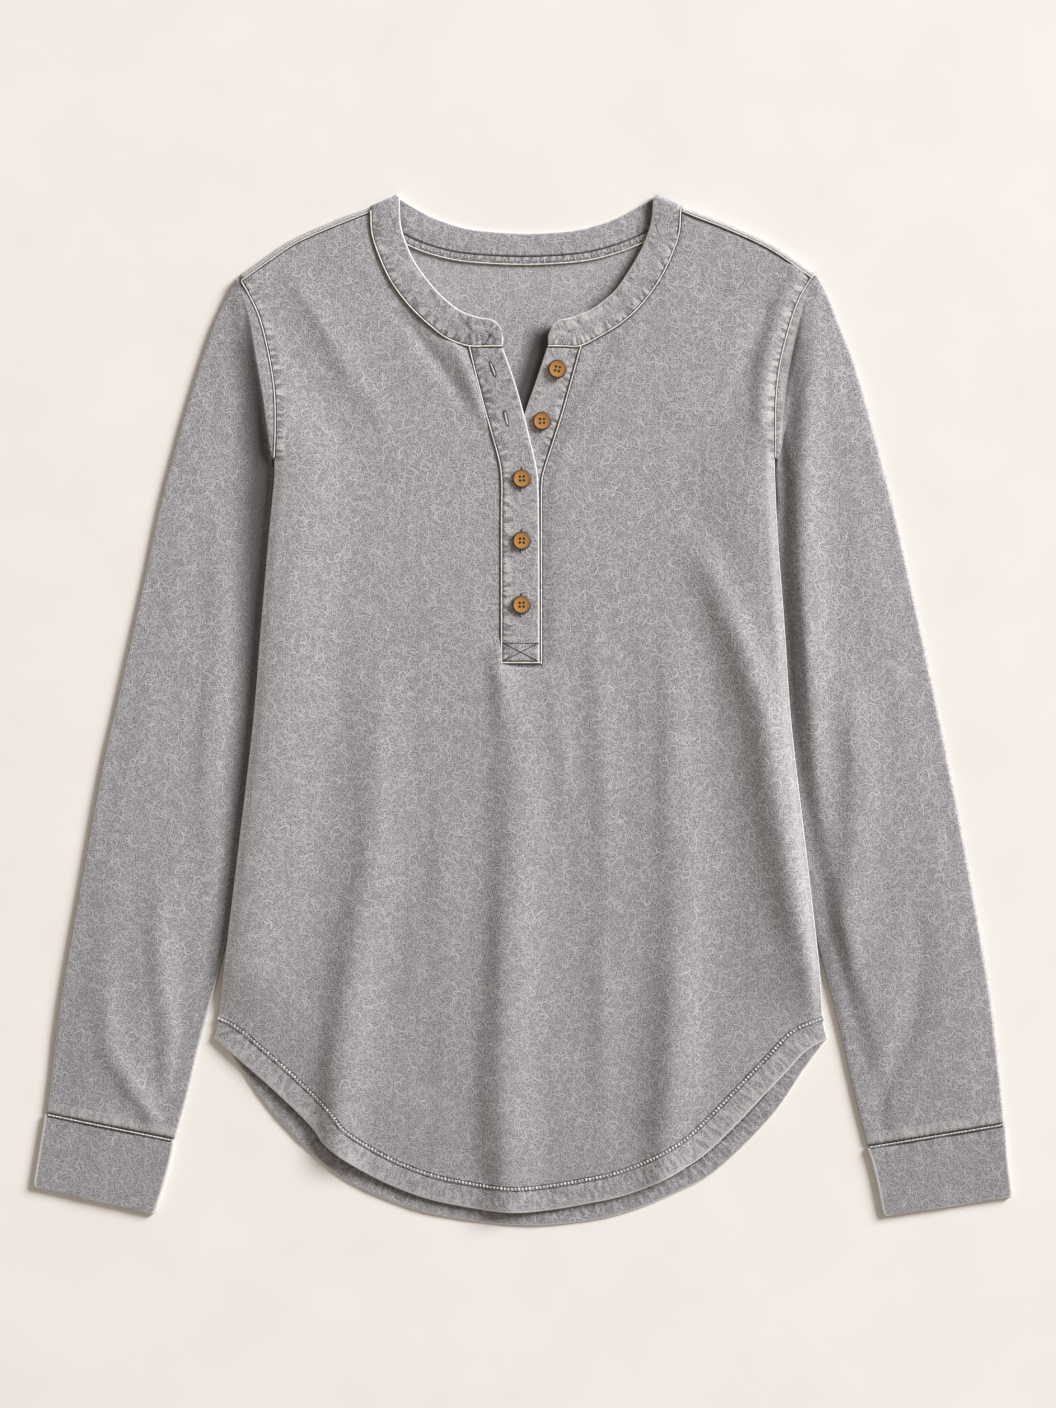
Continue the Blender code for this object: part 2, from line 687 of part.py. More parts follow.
def make_neck_tape(material, collection):
    """A strip along the back's neck edge, on its inside."""
    seam = neck_line(back_band(), -1)
    length = reach(seam)[-1]
    line = at(seam, np.linspace(TAPE_ENDS, length - TAPE_ENDS, TAPE_COLUMNS + 1))
    upper = sideways(line, -TAPE_INSET)
    lower = sideways(line, -TAPE_INSET - TAPE_WIDTH)
    height = np.full(len(line), JERSEY + LAYER_GAP + TAPE / 2)
    grid = np.stack([with_height(lower, height), with_height(upper, height)])
    return cloth("neck_tape", grid, TAPE, material, collection)


# ---------------------------------------------------------------- plackets

def make_placket(name, table, height, material, collection):
    rows = sampled(table, NOTCH_ROWS)
    share = np.linspace(0.0, 1.0, PLACKET_COLUMNS + 1)[None, :]
    x = rows[:, 0:1] * (1 - share) + rows[:, 1:2] * share
    y = np.repeat(rows[:, 2:3], PLACKET_COLUMNS + 1, axis=1)
    grid = np.stack([x, y, height(y)], axis=-1)[::-1]
    return cloth(name, grid, DOUBLED, material, collection)


def over_height(y):
    return np.full(np.shape(y), OVER_Z)


def under_height(y):
    return UNDER_Z + UNDER_RISE * smoothstep(*UNDER_RISE_Y, y)


# ---------------------------------------------------------------- sleeves

def tube_ring(plan, upper, lower):
    """One ring of a flattened tube: the upper wall outer edge to inner, then the lower wall back.

    plan is the line across the tube; its two ends are the silhouette less half a wall.
    """
    ends = []
    for tip, inner, high, low in ((plan[0], plan[1], upper[0], lower[0]),
                                  (plan[-1], plan[-2], upper[-1], lower[-1])):
        run = (tip - inner) / np.linalg.norm(tip - inner)
        half = (high - low) / 2
        turned = []
        for angle in (math.radians(30.0), math.radians(-30.0)):
            spot = tip + run * half * math.cos(angle)
            turned.append([*spot, (high + low) / 2 + half * math.sin(angle)])
        ends.append(turned)
    top = with_height(plan, upper)
    bottom = with_height(plan, lower)[::-1]
    return np.vstack([top, ends[1], bottom, ends[0][::-1]])


def inset_ends(plan, upper, lower, wall):
    """Draw the ends of a line in, so that the rounded edges reach its true ends."""
    plan = plan.copy()
    for end, neighbour in ((0, 1), (-1, -2)):
        run = plan[neighbour] - plan[end]
        run /= np.linalg.norm(run)
        plan[end] += run * ((upper[end] - lower[end]) / 2 + wall / 2)
    return plan


def sleeve_upper(plan, full, folds):
    """Height of the middle of a sleeve's upper wall along a section."""
    from_inner = np.linalg.norm(plan - plan[-1], axis=1)
    from_outer = np.linalg.norm(plan - plan[0], axis=1)
    rise = smoothstep(*SLEEVE_RISE, from_inner)
    fall = 1.0 - SLEEVE_EDGE_FALL * (1.0 - smoothstep(0.0, SLEEVE_EDGE, from_outer))
    creased = full * fall + fold_height(plan[:, 0], plan[:, 1], folds)
    return SLEEVE_FLAT + rise * np.clip(creased, 0.0, SLEEVE_FULLEST)


def sleeve_sections(table):
    """Sections between the rows of a sleeve's table, closer together near the armhole."""
    dense = spline(table, FINE_STEPS)
    place = np.linspace(0.0, 1.0, SLEEVE_ROWS + 1) ** SLEEVE_BUNCHING
    return dense[(place * (len(dense) - 1)).round().astype(int)]


def make_sleeve(name, side, armhole, table, folds, material, collection):
    """A flattened sleeve from the armhole to the cuff.

    Its first rings follow the armhole, run level to a fold and step down from it.
    """
    inset = ROLL_RADIUS + JERSEY / 2
    seam = armhole_line(armhole, inset)[::-1]
    front = front_middle(seam[:, 0], seam[:, 1])
    front[0] = JERSEY / 2 + 2 * ROLL_RADIUS
    back = back_middle(seam[:, 0], seam[:, 1])
    rings = []
    share = np.linspace(0.0, 1.0, len(seam))
    bow = np.sin(math.pi * share) ** CAP_BOW
    sections = sleeve_sections(table)
    first = sections[0]
    level = sleeve_upper(first[0:2] + (first[2:4] - first[0:2]) * share[:, None], first[4], folds)
    drop = smoothstep(0.0, CAP_DROP_RUN, share)
    ease = 2 * CORNER_EASE * (share == 0.0)
    for k, (out, fallen) in enumerate(((0.0, 0.0), (CAP_FOLD, 0.1), (CAP_FOLD + CAP_DROP, 1.0))):
        gap = SEAM_GAP + k + ease + out * bow
        plan = sideways(seam, side * gap[:, None])
        lift = (back - JERSEY / 2) * UNDERARM_DECAY[k]
        lower = JERSEY / 2 + lift
        upper = front + (level + lift - front) * fallen * drop
        upper = np.maximum(upper, lower + JERSEY + LAYER_GAP)
        rings.append(tube_ring(plan, upper, lower))
    for k, section in enumerate(sections):
        decay = UNDERARM_DECAY[k + 3] if k + 3 < len(UNDERARM_DECAY) else 0.0
        lift = (back - JERSEY / 2) * decay
        plan = section[0:2] + (section[2:4] - section[0:2]) * share[:, None]
        upper = sleeve_upper(plan, section[4], folds) + lift
        lower = JERSEY / 2 + lift
        plan = inset_ends(plan, upper, lower, JERSEY)
        rings.append(tube_ring(plan, upper, lower))
    grid = np.array(rings)
    if side < 0:
        grid = grid[::-1]
    return cloth(name, grid, JERSEY, material, collection, ring=True)


def make_cuff(name, side, table, material, collection):
    rings = []
    for outer_x, outer_y, inner_x, inner_y in table:
        share = np.linspace(0.0, 1.0, ARMHOLE_ROWS + 1)[:, None]
        outer, inner = np.array([outer_x, outer_y]), np.array([inner_x, inner_y])
        plan = outer + (inner - outer) * share
        lower = np.full(len(plan), DOUBLED / 2)
        upper = lower + DOUBLED + CUFF_INNER_GAP
        plan = inset_ends(plan, upper, lower, DOUBLED)
        rings.append(tube_ring(plan, upper, lower))
    grid = np.array(rings)
    if side < 0:
        grid = grid[::-1]
    return cloth(name, grid, DOUBLED, material, collection, ring=True)


# ---------------------------------------------------------------- buttons

def make_button_mesh(collection):
    """One turned button with a dished face and four sewing holes."""
    radius, thick = BUTTON_RADIUS, BUTTON_THICK
    dish = thick - BUTTON_DISH
    profile = (
        (0.0, dish),
        (radius - BUTTON_RIM - BUTTON_DISH, dish),
        (radius - BUTTON_RIM, thick),
        (radius - BUTTON_ROUND, thick),
        (radius, thick - BUTTON_ROUND),
        (radius, BUTTON_ROUND),
        (radius - BUTTON_ROUND, 0.0),
        (0.0, 0.0),
    )
    mesh = bpy.data.meshes.new("button_profile")
    points = [(x * MM, 0.0, z * MM) for x, z in profile]
    mesh.from_pydata(points, [(k, k + 1) for k in range(len(points) - 1)], [])
    turned = bpy.data.objects.new("button_profile", mesh)
    collection.objects.link(turned)
    screw = turned.modifiers.new("turn", "SCREW")
    screw.steps = BUTTON_SIDES
    screw.render_steps = BUTTON_SIDES
    screw.use_merge_vertices = True
    screw.merge_threshold = 0.00005
    for corner in range(4):
        angle = HOLE_TURN + math.radians(45.0 + 90.0 * corner)
        spot = HOLE_PITCH / math.sqrt(2.0)
        bpy.ops.mesh.primitive_cylinder_add(
            vertices=8,
            radius=HOLE_RADIUS * MM,
            depth=3 * thick * MM,
            location=(spot * math.cos(angle) * MM, spot * math.sin(angle) * MM, thick / 2 * MM),
        )
        cutter = bpy.context.object
        cutter.name = f"hole_cutter_{corner + 1}"
        cutter.hide_render = True
        cutter.display_type = "WIRE"
        for owner in list(cutter.users_collection):
            owner.objects.unlink(cutter)
        collection.objects.link(cutter)
        cut = turned.modifiers.new(f"hole_{corner + 1}", "BOOLEAN")
        cut.object = cutter
        cut.solver = "EXACT"
    bpy.context.view_layer.update()
    shape = turned.evaluated_get(bpy.context.evaluated_depsgraph_get())
    button = bpy.data.meshes.new_from_object(shape)
    button.name = "button"
    button.shade_smooth()
    button.set_sharp_from_angle(angle=math.radians(30.0))
    bpy.data.objects.remove(turned)
    return button


def make_buttons(material, collection, cutters):
    mesh = make_button_mesh(cutters)
    for number, (x, y, seat) in enumerate(BUTTONS, start=1):
        button = new_object(f"button_{number}", mesh, material, collection)
        button.location = (x * MM, y * MM, (seat + LAYER_GAP) * MM)


# ---------------------------------------------------------------- the shirt

def clear_scene():
    for item in list(bpy.data.objects):
        bpy.data.objects.remove(item)


def new_collection(name):
    collection = bpy.data.collections.new(name)
    bpy.context.scene.collection.children.link(collection)
    return collection


def main():
    clear_scene()
    shirt = new_collection("henley_shirt")
    cutters = new_collection("cutters")
    make_front(new_material("front_jersey", JERSEY_GREY, 0.9), shirt)
    make_back(new_material("back_jersey", JERSEY_SHADE, 0.9), shirt)
    make_sleeve("sleeve_left", -1, ARMHOLE_LEFT, SLEEVE_LEFT, LEFT_SLEEVE_FOLDS,
                new_material("sleeve_left_jersey", JERSEY_GREY, 0.9), shirt)
    make_sleeve("sleeve_right", 1, ARMHOLE_RIGHT, SLEEVE_RIGHT, RIGHT_SLEEVE_FOLDS,
                new_material("sleeve_right_jersey", JERSEY_GREY, 0.9), shirt)
    make_cuff("cuff_left", -1, CUFF_LEFT, new_material("cuff_left_jersey", JERSEY_SHADE, 0.9), shirt)
    make_cuff("cuff_right", 1, CUFF_RIGHT, new_material("cuff_right_jersey", JERSEY_SHADE, 0.9), shirt)
    make_neckband(new_material("neckband_jersey", JERSEY_GREY, 0.9), shirt)
    make_neck_tape(new_material("neck_tape_jersey", JERSEY_SHADE, 0.9), shirt)
    make_placket("placket_over", PLACKET_OVER, over_height,
                 new_material("placket_over_jersey", JERSEY_GREY, 0.9), shirt)
    make_placket("placket_under", PLACKET_UNDER, under_height,
                 new_material("placket_under_jersey", JERSEY_GREY, 0.9), shirt)
    make_buttons(new_material("button_wood", BUTTON_TAN, 0.45), shirt, cutters)


main()
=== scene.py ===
"""A long-sleeved henley shirt of washed jersey, laid flat on its back and buttoned at the chest.

+X is to the right as one looks down at the front, +Y runs up to the neck, and +Z is up off the
floor. Sizes are in millimetres and become metres where a mesh is made.
"""
import math
from functools import partial

import bmesh
import bpy
import numpy as np
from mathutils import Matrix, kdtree


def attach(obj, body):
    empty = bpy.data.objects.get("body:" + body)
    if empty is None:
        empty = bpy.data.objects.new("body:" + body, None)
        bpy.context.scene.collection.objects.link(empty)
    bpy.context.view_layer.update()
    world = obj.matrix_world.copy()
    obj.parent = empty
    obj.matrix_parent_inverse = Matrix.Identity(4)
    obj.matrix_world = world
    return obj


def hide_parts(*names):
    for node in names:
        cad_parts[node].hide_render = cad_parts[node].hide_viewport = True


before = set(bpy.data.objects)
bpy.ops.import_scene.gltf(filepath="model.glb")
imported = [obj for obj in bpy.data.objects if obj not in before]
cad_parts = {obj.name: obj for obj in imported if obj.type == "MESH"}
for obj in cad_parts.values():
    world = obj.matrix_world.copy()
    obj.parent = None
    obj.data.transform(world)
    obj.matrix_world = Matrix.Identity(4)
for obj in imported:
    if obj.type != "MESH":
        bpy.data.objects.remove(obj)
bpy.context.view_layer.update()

# ---------------------------------------------------------------- Back panel
# One piece of thin cotton jersey whose curved hem hangs below the front's. The hem is turned up
# and sewn with two rows. The shoulder edges roll over to the front, where they are seamed to it.

MM = 0.001
JERSEY = 1.2  # wall of single cloth
HEM_EXTRA = 0.5  # more wall where the hem is turned up
HEM_DEPTH = 15.5
SEAM_GAP = 0.35  # between pieces that are sewn edge to edge
SEAM_SINK = 0.3  # how deep a sewn edge sinks
RIM_WIDTH, RIM_WALL = 1.3, 0.35  # the wall's rounded rim, and the share of the wall that is left at its end
SLEEVE_LIFT = 5  # how high the sleeve under it holds the body's edge
LIFT_FLAT, LIFT_RAMP = 12, 58
EDGE_DROP, EDGE_ROUND = (0.7, 1.6), 6.5  # how far the body's left and right edges bend down, and over what width
LIFT_ENDS_Y = (-215, -168)
ARMHOLE_CLIMB = 0.6
SHOULDER_ROLL = 4
ROLL_RADIUS = 1.9
BAND_INSET = 3
CORNER_EASE = 0.3
SHOULDER_EASE, ROLL_EASE, BAND_EASE = 14, 16, 12  # how far from its ends a shoulder edge bends to meet the next
BACK_STEPS = (150, 32, 104)  # cells up the side and armhole, along a shoulder, and across
ROLL_STEPS = 8

BODY_SIDES = (  # y, left x, right x
    (-219.8, -206.5, 204.3), (-207, -203.5, 201.3), (-168.8, -199, 198.2), (-88, -189.3, 188.9), (-8, -180, 179.6),
    (55.6, -174.8, 175.2), (116, -169.6, 170.6), (154, -166, 168.8), (168.8, -165.8, 168.7),
)
ARMHOLES = {  # x, y from the underarm to the shoulder edge
    -1: ((-165.8, 168.8), (-164.9, 187.6), (-165.5, 212.4), (-169.3, 237), (-175.4, 261.6), (-182.8, 278.1),
        (-190, 290.2)),
    1: ((168.7, 168.8), (168.6, 187), (168.8, 205.4), (170.9, 226.7), (176.2, 250.2), (184.2, 274.2), (195, 292.6)),
}
SHOULDERS = {  # x, y from the armhole to the neck
    -1: ((-190, 290.2), (-169.2, 305.1), (-153.1, 315.6), (-128.3, 326.7), (-103.1, 336.7)),
    1: ((195, 292.6), (167.8, 311.2), (138.4, 325), (106.9, 337.1)),
}
HEM_BACK = (  # x, y
    (-206.5, -219.8), (-195.6, -230.1), (-168.5, -268.4), (-141, -297.1), (-120.3, -313.6), (-92.8, -327.2),
    (-58.8, -338.1), (-1.7, -345.4), (43, -342.2), (72, -335.7), (101.2, -324), (130.3, -308), (166.5, -272.4),
    (189, -240), (204.3, -219.8),
)
HEM_FRONT = (  # x, y
    (-206.5, -219.8), (-175.2, -246.6), (-154.4, -265.7), (-140, -280.4), (-132, -291), (-113.6, -304.6),
    (-86.1, -318.9), (-51.9, -329.9), (-1.7, -336.1), (50.3, -329), (79.4, -320.9), (108.2, -306.6), (130.3, -289.8),
    (173.9, -244.8), (189, -229), (204.3, -219.8),
)
BAND_BACK = (  # seam x, seam y, free x, free y, middle height: left shoulder to right shoulder
    (-101.6, 334, -82.1, 342.4, 1), (-90, 325.8, -73, 337, 1), (-76, 317.2, -62, 331, 1),
    (-58, 310.2, -48, 325.6, 1), (-36, 305.8, -30, 321.4, 1), (2, 303.9, 2, 319.3, 1), (38, 306, 33, 321, 1),
    (60, 311, 52, 325.4, 1), (78, 318, 66, 331, 1), (92, 325.8, 78, 337.6, 1), (105.6, 334.6, 87.5, 342.4, 1),
)
# lines along which shadow is painted on the back: inside the slit, and under the neckband's right side
SLIT_SHADE = ((13, 248), (5.5, 222), (-4, 192), (-9, 168))  # x, y
NECK_SHADE = ((88.5, 342), (86, 327), (82, 314), (76.3, 302), (69.5, 291), (62, 281), (48, 269))


def linear(code):
    """An sRGB hex colour as linear RGBA."""
    parts = [int(code[k:k + 2], 16) / 255 for k in (1, 3, 5)]
    return [c / 12.92 if c <= 0.04045 else ((c + 0.055) / 1.055) ** 2.4 for c in parts] + [1]


def node(tree, kind, *given, **settings):
    """Adds a node, or takes one, then sets it and fills or links its inputs.

    The inputs are given in order, or by name or number in one dict. A node that is given as an
    input stands for its first output in use.
    """
    made = kind
    if isinstance(kind, str):
        made = tree.nodes.new(kind if "Node" in kind else f"ShaderNode{kind}")
    for name, value in settings.items():
        setattr(made, name, value)
    for key, value in (given[0] if given and isinstance(given[0], dict) else dict(enumerate(given))).items():
        if isinstance(value, bpy.types.Node):
            value = next(socket for socket in value.outputs if socket.enabled)
        if isinstance(value, bpy.types.NodeSocket):
            tree.links.new(value, made.inputs[key])
        else:
            made.inputs[key].default_value = value
    return made


def new_material(name, roughness):
    """A material with an empty colour, its shader, and the function that adds nodes to it."""
    material = bpy.data.materials.new(name)
    material.use_nodes = True
    shader = material.node_tree.nodes["Principled BSDF"]
    shader.inputs["Roughness"].default_value = roughness
    return material, shader, partial(node, material.node_tree)


def curls(add, place, seed, pitch, radius, half_turn, width, share, strength, ripple=0):
    """Short bent strokes, one in most cells of an uneven net, each part of a circle turned its own way."""
    moved = add("VectorMath", place, (seed * 31.7, seed * 17.3, 0), operation="ADD")
    cell = add("TexVoronoi", {"Vector": moved, "Scale": 1 / pitch}, voronoi_dimensions="2D")
    angle_by, radius_by, worn_by = add("SeparateColor", cell.outputs["Color"]).outputs
    aside = add("VectorMath", moved, cell.outputs["Position"], operation="SUBTRACT")
    angle = add("Math", angle_by, 6.283, operation="MULTIPLY")
    turned = add("VectorRotate", {"Vector": aside, "Angle": angle}, rotation_type="Z_AXIS")
    split = add("SeparateXYZ", turned)
    round_by = add("Math", radius_by, 0.8 * radius, 0.6 * radius, operation="MULTIPLY_ADD")
    above = add("Math", split.outputs[1], round_by, operation="ADD")
    out = add("VectorMath", add("CombineXYZ", split, above), operation="LENGTH")
    far = add("Math", add("Math", out, round_by, operation="SUBTRACT"), operation="ABSOLUTE")
    thin = add("Math", far, ripple, operation="PINGPONG") if ripple else far
    end = math.cos(math.radians(half_turn))
    made = add("MapRange", thin, width * 0.2, width * 1.4, 1, 0, interpolation_type="SMOOTHSTEP")
    for other in (
        add("MapRange", far, 0.5 * width, width + 2.4 * ripple, 1, 0),
        add("MapRange", add("Math", above, out, operation="DIVIDE"), end, end + 0.15 * (1 - end)),
        add("MapRange", worn_by, 1 - share, 1, 0.4 * strength, strength),
        add("Math", worn_by, 1 - share, operation="GREATER_THAN"),
    ):
        made = add("Math", made, other, operation="MULTIPLY")
    return made


# Cotton jersey, garment-dyed and washed: a matt mid grey, marked all over with short pale curls
# where dye has worn off the bent yarns, darker inside the seams and worn pale along the edges and
# on the small puckers that the sewing draws up. Painted shade darkens it where other parts would
# shadow it, and painted light lifts it beside some edges. The curls are 0.3 to 0.4 mm wide, so that they show.
washed_jersey, shader, add = new_material("washed_cotton_jersey", 0.92)


def noise(place, size, detail, roughness=0.5):
    """Flat noise with features of this size."""
    return add("TexNoise", {"Vector": place, "Scale": 1 / size, "Detail": detail, "Roughness": roughness},
               noise_dimensions="2D")


weave = add("UVMap", uv_map="weave")
push = add("VectorMath", noise(weave, 9, 1).outputs["Color"], (0.5, 0.5, 0.5), operation="SUBTRACT")
warped = add("VectorMath", push, (2, 2, 0), weave, operation="MULTIPLY_ADD")
net = add("TexVoronoi", {"Vector": warped, "Scale": 1 / 6}, voronoi_dimensions="2D", feature="SMOOTH_F1")
loop_far = add("Math", add("Math", net, 0.42, operation="SUBTRACT"), operation="ABSOLUTE")
strokes = add("Math", add("MapRange", loop_far, 0.02, 0.08, 0.5, 0),
              add("MapRange", noise(weave, 4.5, 0), 0.48, 0.56), operation="MULTIPLY")
for kind in (  # seed, then in mm: spacing, radius, half turn in degrees, width, share of cells, strength, ripple
    (1, 4, 2.6, 50, 0.34, 0.6, 0.7), (2, 5.2, 2.1, 100, 0.32, 0.75, 0.6, 1.1),
    (3, 6.9, 3.5, 80, 0.32, 0.85, 0.6, 1.15), (4, 6.1, 6.9, 30, 0.32, 0.8, 0.6, 1.2),
    (5, 7.8, 8.6, 26, 0.42, 0.6, 0.9), (6, 7.3, 2.5, 130, 0.42, 0.75, 1), (7, 8.7, 4, 100, 0.42, 0.75, 1),
):
    strokes = add("Math", strokes, curls(add, warped, *kind), operation="MAXIMUM")
grain, cloud = noise(weave, 0.85, 0), noise(weave, 14, 3, 0.6)
wear_and_painted_light, run, amount, seam, edge, painted_lit_edge_shade = (add("Attribute", attribute_name=title).outputs["Fac"]
                                      for title in ("wear_and_painted_light", "run", "pucker", "seam", "edge", "painted_lit_edge_shade"))
lane = add("CombineXYZ", run, add("Math", seam, edge, operation="MINIMUM"))
across = add("VectorMath", lane, (1 / 3.1, 1 / 8, 0), operation="MULTIPLY")  # puckers 3 mm wide, 8 mm long
rib = add("MapRange", noise(across, 1, 0), 0.34, 0.68, -1, 1)
smooth = add("Math", amount, add("MapRange", edge, 1.2, 3.2), operation="MULTIPLY")  # a worn rim lies smooth
pucker = add("Math", rib, smooth, operation="MULTIPLY")
tone = add("Math", pucker, wear_and_painted_light, operation="ADD")
place = add("SeparateXYZ", add("TexCoord").outputs["Object"])
colour = add("Mix", {0: add("MapRange", grain, 0.25, 0.75), 6: linear("#7a777b"), 7: linear("#b0adb1")},
             data_type="RGBA")
for share, code in (
    (add("MapRange", cloud, 0.35, 0.7, 0, 0.06), "#b4b0af"),  # faded in patches of 14 mm
    (add("Math", strokes, add("MapRange", cloud, 0.3, 0.65, 0.57, 0.76), operation="MULTIPLY"), "#dcdbde"),
    (add("MapRange", place.outputs[1], -0.28, 0.12, 0.2, 0), "#6a6667"),  # darker towards the hem
    (add("MapRange", tone, 0.1, 1, 0, 0.7), "#d2cecb"),  # rubbed pale, and painted light
    (add("MapRange", tone, -1.6, -0.1, 0.95, 0), "#4a4646"),  # painted shade, and darker cloth and puckers
    (add("MapRange", seam, 0.5, 1.2, 0.42, 0), "#565151"),  # the groove of a seam
    (add("Math", add("MapRange", edge, 0.5, 1.2, 0.68, 0), add("Math", 1, painted_lit_edge_shade, operation="SUBTRACT"),
         operation="MULTIPLY"), "#e9e5e1"),  # a worn rim, kept off the edges that face the lamp, which carry painted shade
):
    colour = add("Mix", {0: share, 6: colour, 7: linear(code)}, data_type="RGBA")
relief = add("Math", strokes, 0.35, grain, operation="MULTIPLY_ADD")
raised = add("Math", pucker, 1.9, relief, operation="MULTIPLY_ADD")
rough = add("MapRange", edge, 1.2, 3.2, 0.1, 1)
bump = add("Bump", {"Height": raised, "Distance": 0.00018, "Strength": rough})
add(shader, {"Base Color": colour, "Normal": bump, "Specular IOR Level": 0.25, "Sheen Weight": 0.15,
             "Sheen Roughness": 0.5})


def rise(low, high, value):
    """From 0 at low to 1 at high, level at both ends. With low above high it falls."""
    t = np.clip((np.asarray(value, float) - low) / (high - low), 0, 1)
    return t * t * (3 - 2 * t)


def bell(value, power=2):
    """1 at 0, falling away on both sides."""
    return np.exp(-value ** power)


def unit(vector):
    return vector / np.linalg.norm(vector, axis=-1, keepdims=True)


def spline(points, steps=24):
    """A dense line that passes smoothly through the points."""
    p = np.asarray(points, float)
    p = np.vstack([2 * p[0] - p[1], p, 2 * p[-1] - p[-2]])
    t = np.arange(steps)[:, None] / steps
    pieces = []
    for a, b, c, d in zip(p, p[1:], p[2:], p[3:]):
        bend = (2 * a - 5 * b + 4 * c - d) * t**2 + (3 * b - a - 3 * c + d) * t**3
        pieces.append(b + 0.5 * ((c - a) * t + bend))
    pieces.append(p[-2:-1])
    return np.vstack(pieces)


def rows_of(table, shares):
    """Rows between those of a table, smooth in every column, at these shares of its length."""
    dense = spline(table)
    place = np.asarray(shares) * (len(dense) - 1)
    return np.column_stack([np.interp(place, np.arange(len(dense)), column) for column in dense.T])


def reach(line):
    """Distance along a line at each of its points."""
    return np.concatenate([[0], np.cumsum(np.linalg.norm(np.diff(line[:, :2], axis=0), axis=1))])


def at(line, distances):
    """The points of a line at these distances along it."""
    run = reach(line)
    return np.column_stack([np.interp(distances, run, column) for column in line.T])


def places(length, count, start=True, end=True):
    """Distances along a length, count cells, close together at the ends that are a cloth's edge."""
    rim = np.array([0, 0.35, 0.9, 1.8])
    low = rim[:-1] if start else rim[:0]
    high = (length - rim[:-1])[::-1] if end else rim[:0]
    inner = np.linspace(rim[-1] * start, length - rim[-1] * end, count + 1 - len(low) - len(high))
    return np.concatenate([low, inner, high])


def sideways(line, distance):
    """A line moved to its left, by one distance or by one for each point."""
    run = unit(np.gradient(line[:, :2], axis=0))
    return line[:, :2] + np.asarray(distance)[..., None] * np.column_stack([-run[:, 1], run[:, 0]])


def with_height(plan, height):
    return np.concatenate([plan, np.broadcast_to(height, plan.shape[:-1])[..., None]], axis=-1)


def patch(bottom, top, left, right):
    """Rows of points that fill four boundary lines which meet at their ends."""
    u = ((reach(bottom) / reach(bottom)[-1] + reach(top) / reach(top)[-1]) / 2)[None, :, None]
    v = ((reach(left) / reach(left)[-1] + reach(right) / reach(right)[-1]) / 2)[:, None, None]
    rows = (1 - v) * bottom[None] + v * top[None]
    columns = (1 - u) * left[:, None] + u * right[:, None]
    low = (1 - u) * bottom[0] + u * bottom[-1]
    high = (1 - u) * top[0] + u * top[-1]
    return rows + columns - (1 - v) * low - v * high


def from_line(points, line):
    """Distance of each point from a line, and how far along the line its nearest place is."""
    x, y = points[..., 0], points[..., 1]
    near, run = np.full(x.shape, 1e9), np.zeros(x.shape)
    line = np.asarray(line)[:, :2]
    for a, b, passed in zip(line, line[1:], reach(line)):
        length = np.hypot(*(b - a)) + 1e-9
        way = (b - a) / length
        t = np.clip((x - a[0]) * way[0] + (y - a[1]) * way[1], 0, length)
        off = np.hypot(x - a[0] - way[0] * t, y - a[1] - way[1] * t)
        run = np.where(off < near, passed + t, run)
        near = np.minimum(near, off)
    return near, run


def mottle(u, v, seed):
    """Smooth uneven values from -1 to 1 over a plane, one cell to a unit."""
    i, j = np.floor(u), np.floor(v)
    s, t = u - i, v - j
    s, t = s * s * (3 - 2 * s), t * t * (3 - 2 * t)

    def value(a, b):
        spin = np.sin(a * 127.1 + b * 311.7 + seed * 74.7) * 43758.5453
        return 2 * (spin - np.floor(spin)) - 1

    low = value(i, j) * (1 - s) + value(i + 1, j) * s
    high = value(i, j + 1) * (1 - s) + value(i + 1, j + 1) * s
    return low * (1 - t) + high * t


def new_object(name, content):
    """An object in the scene."""
    made = bpy.data.objects.new(name, content)
    bpy.context.scene.collection.objects.link(made)
    return made


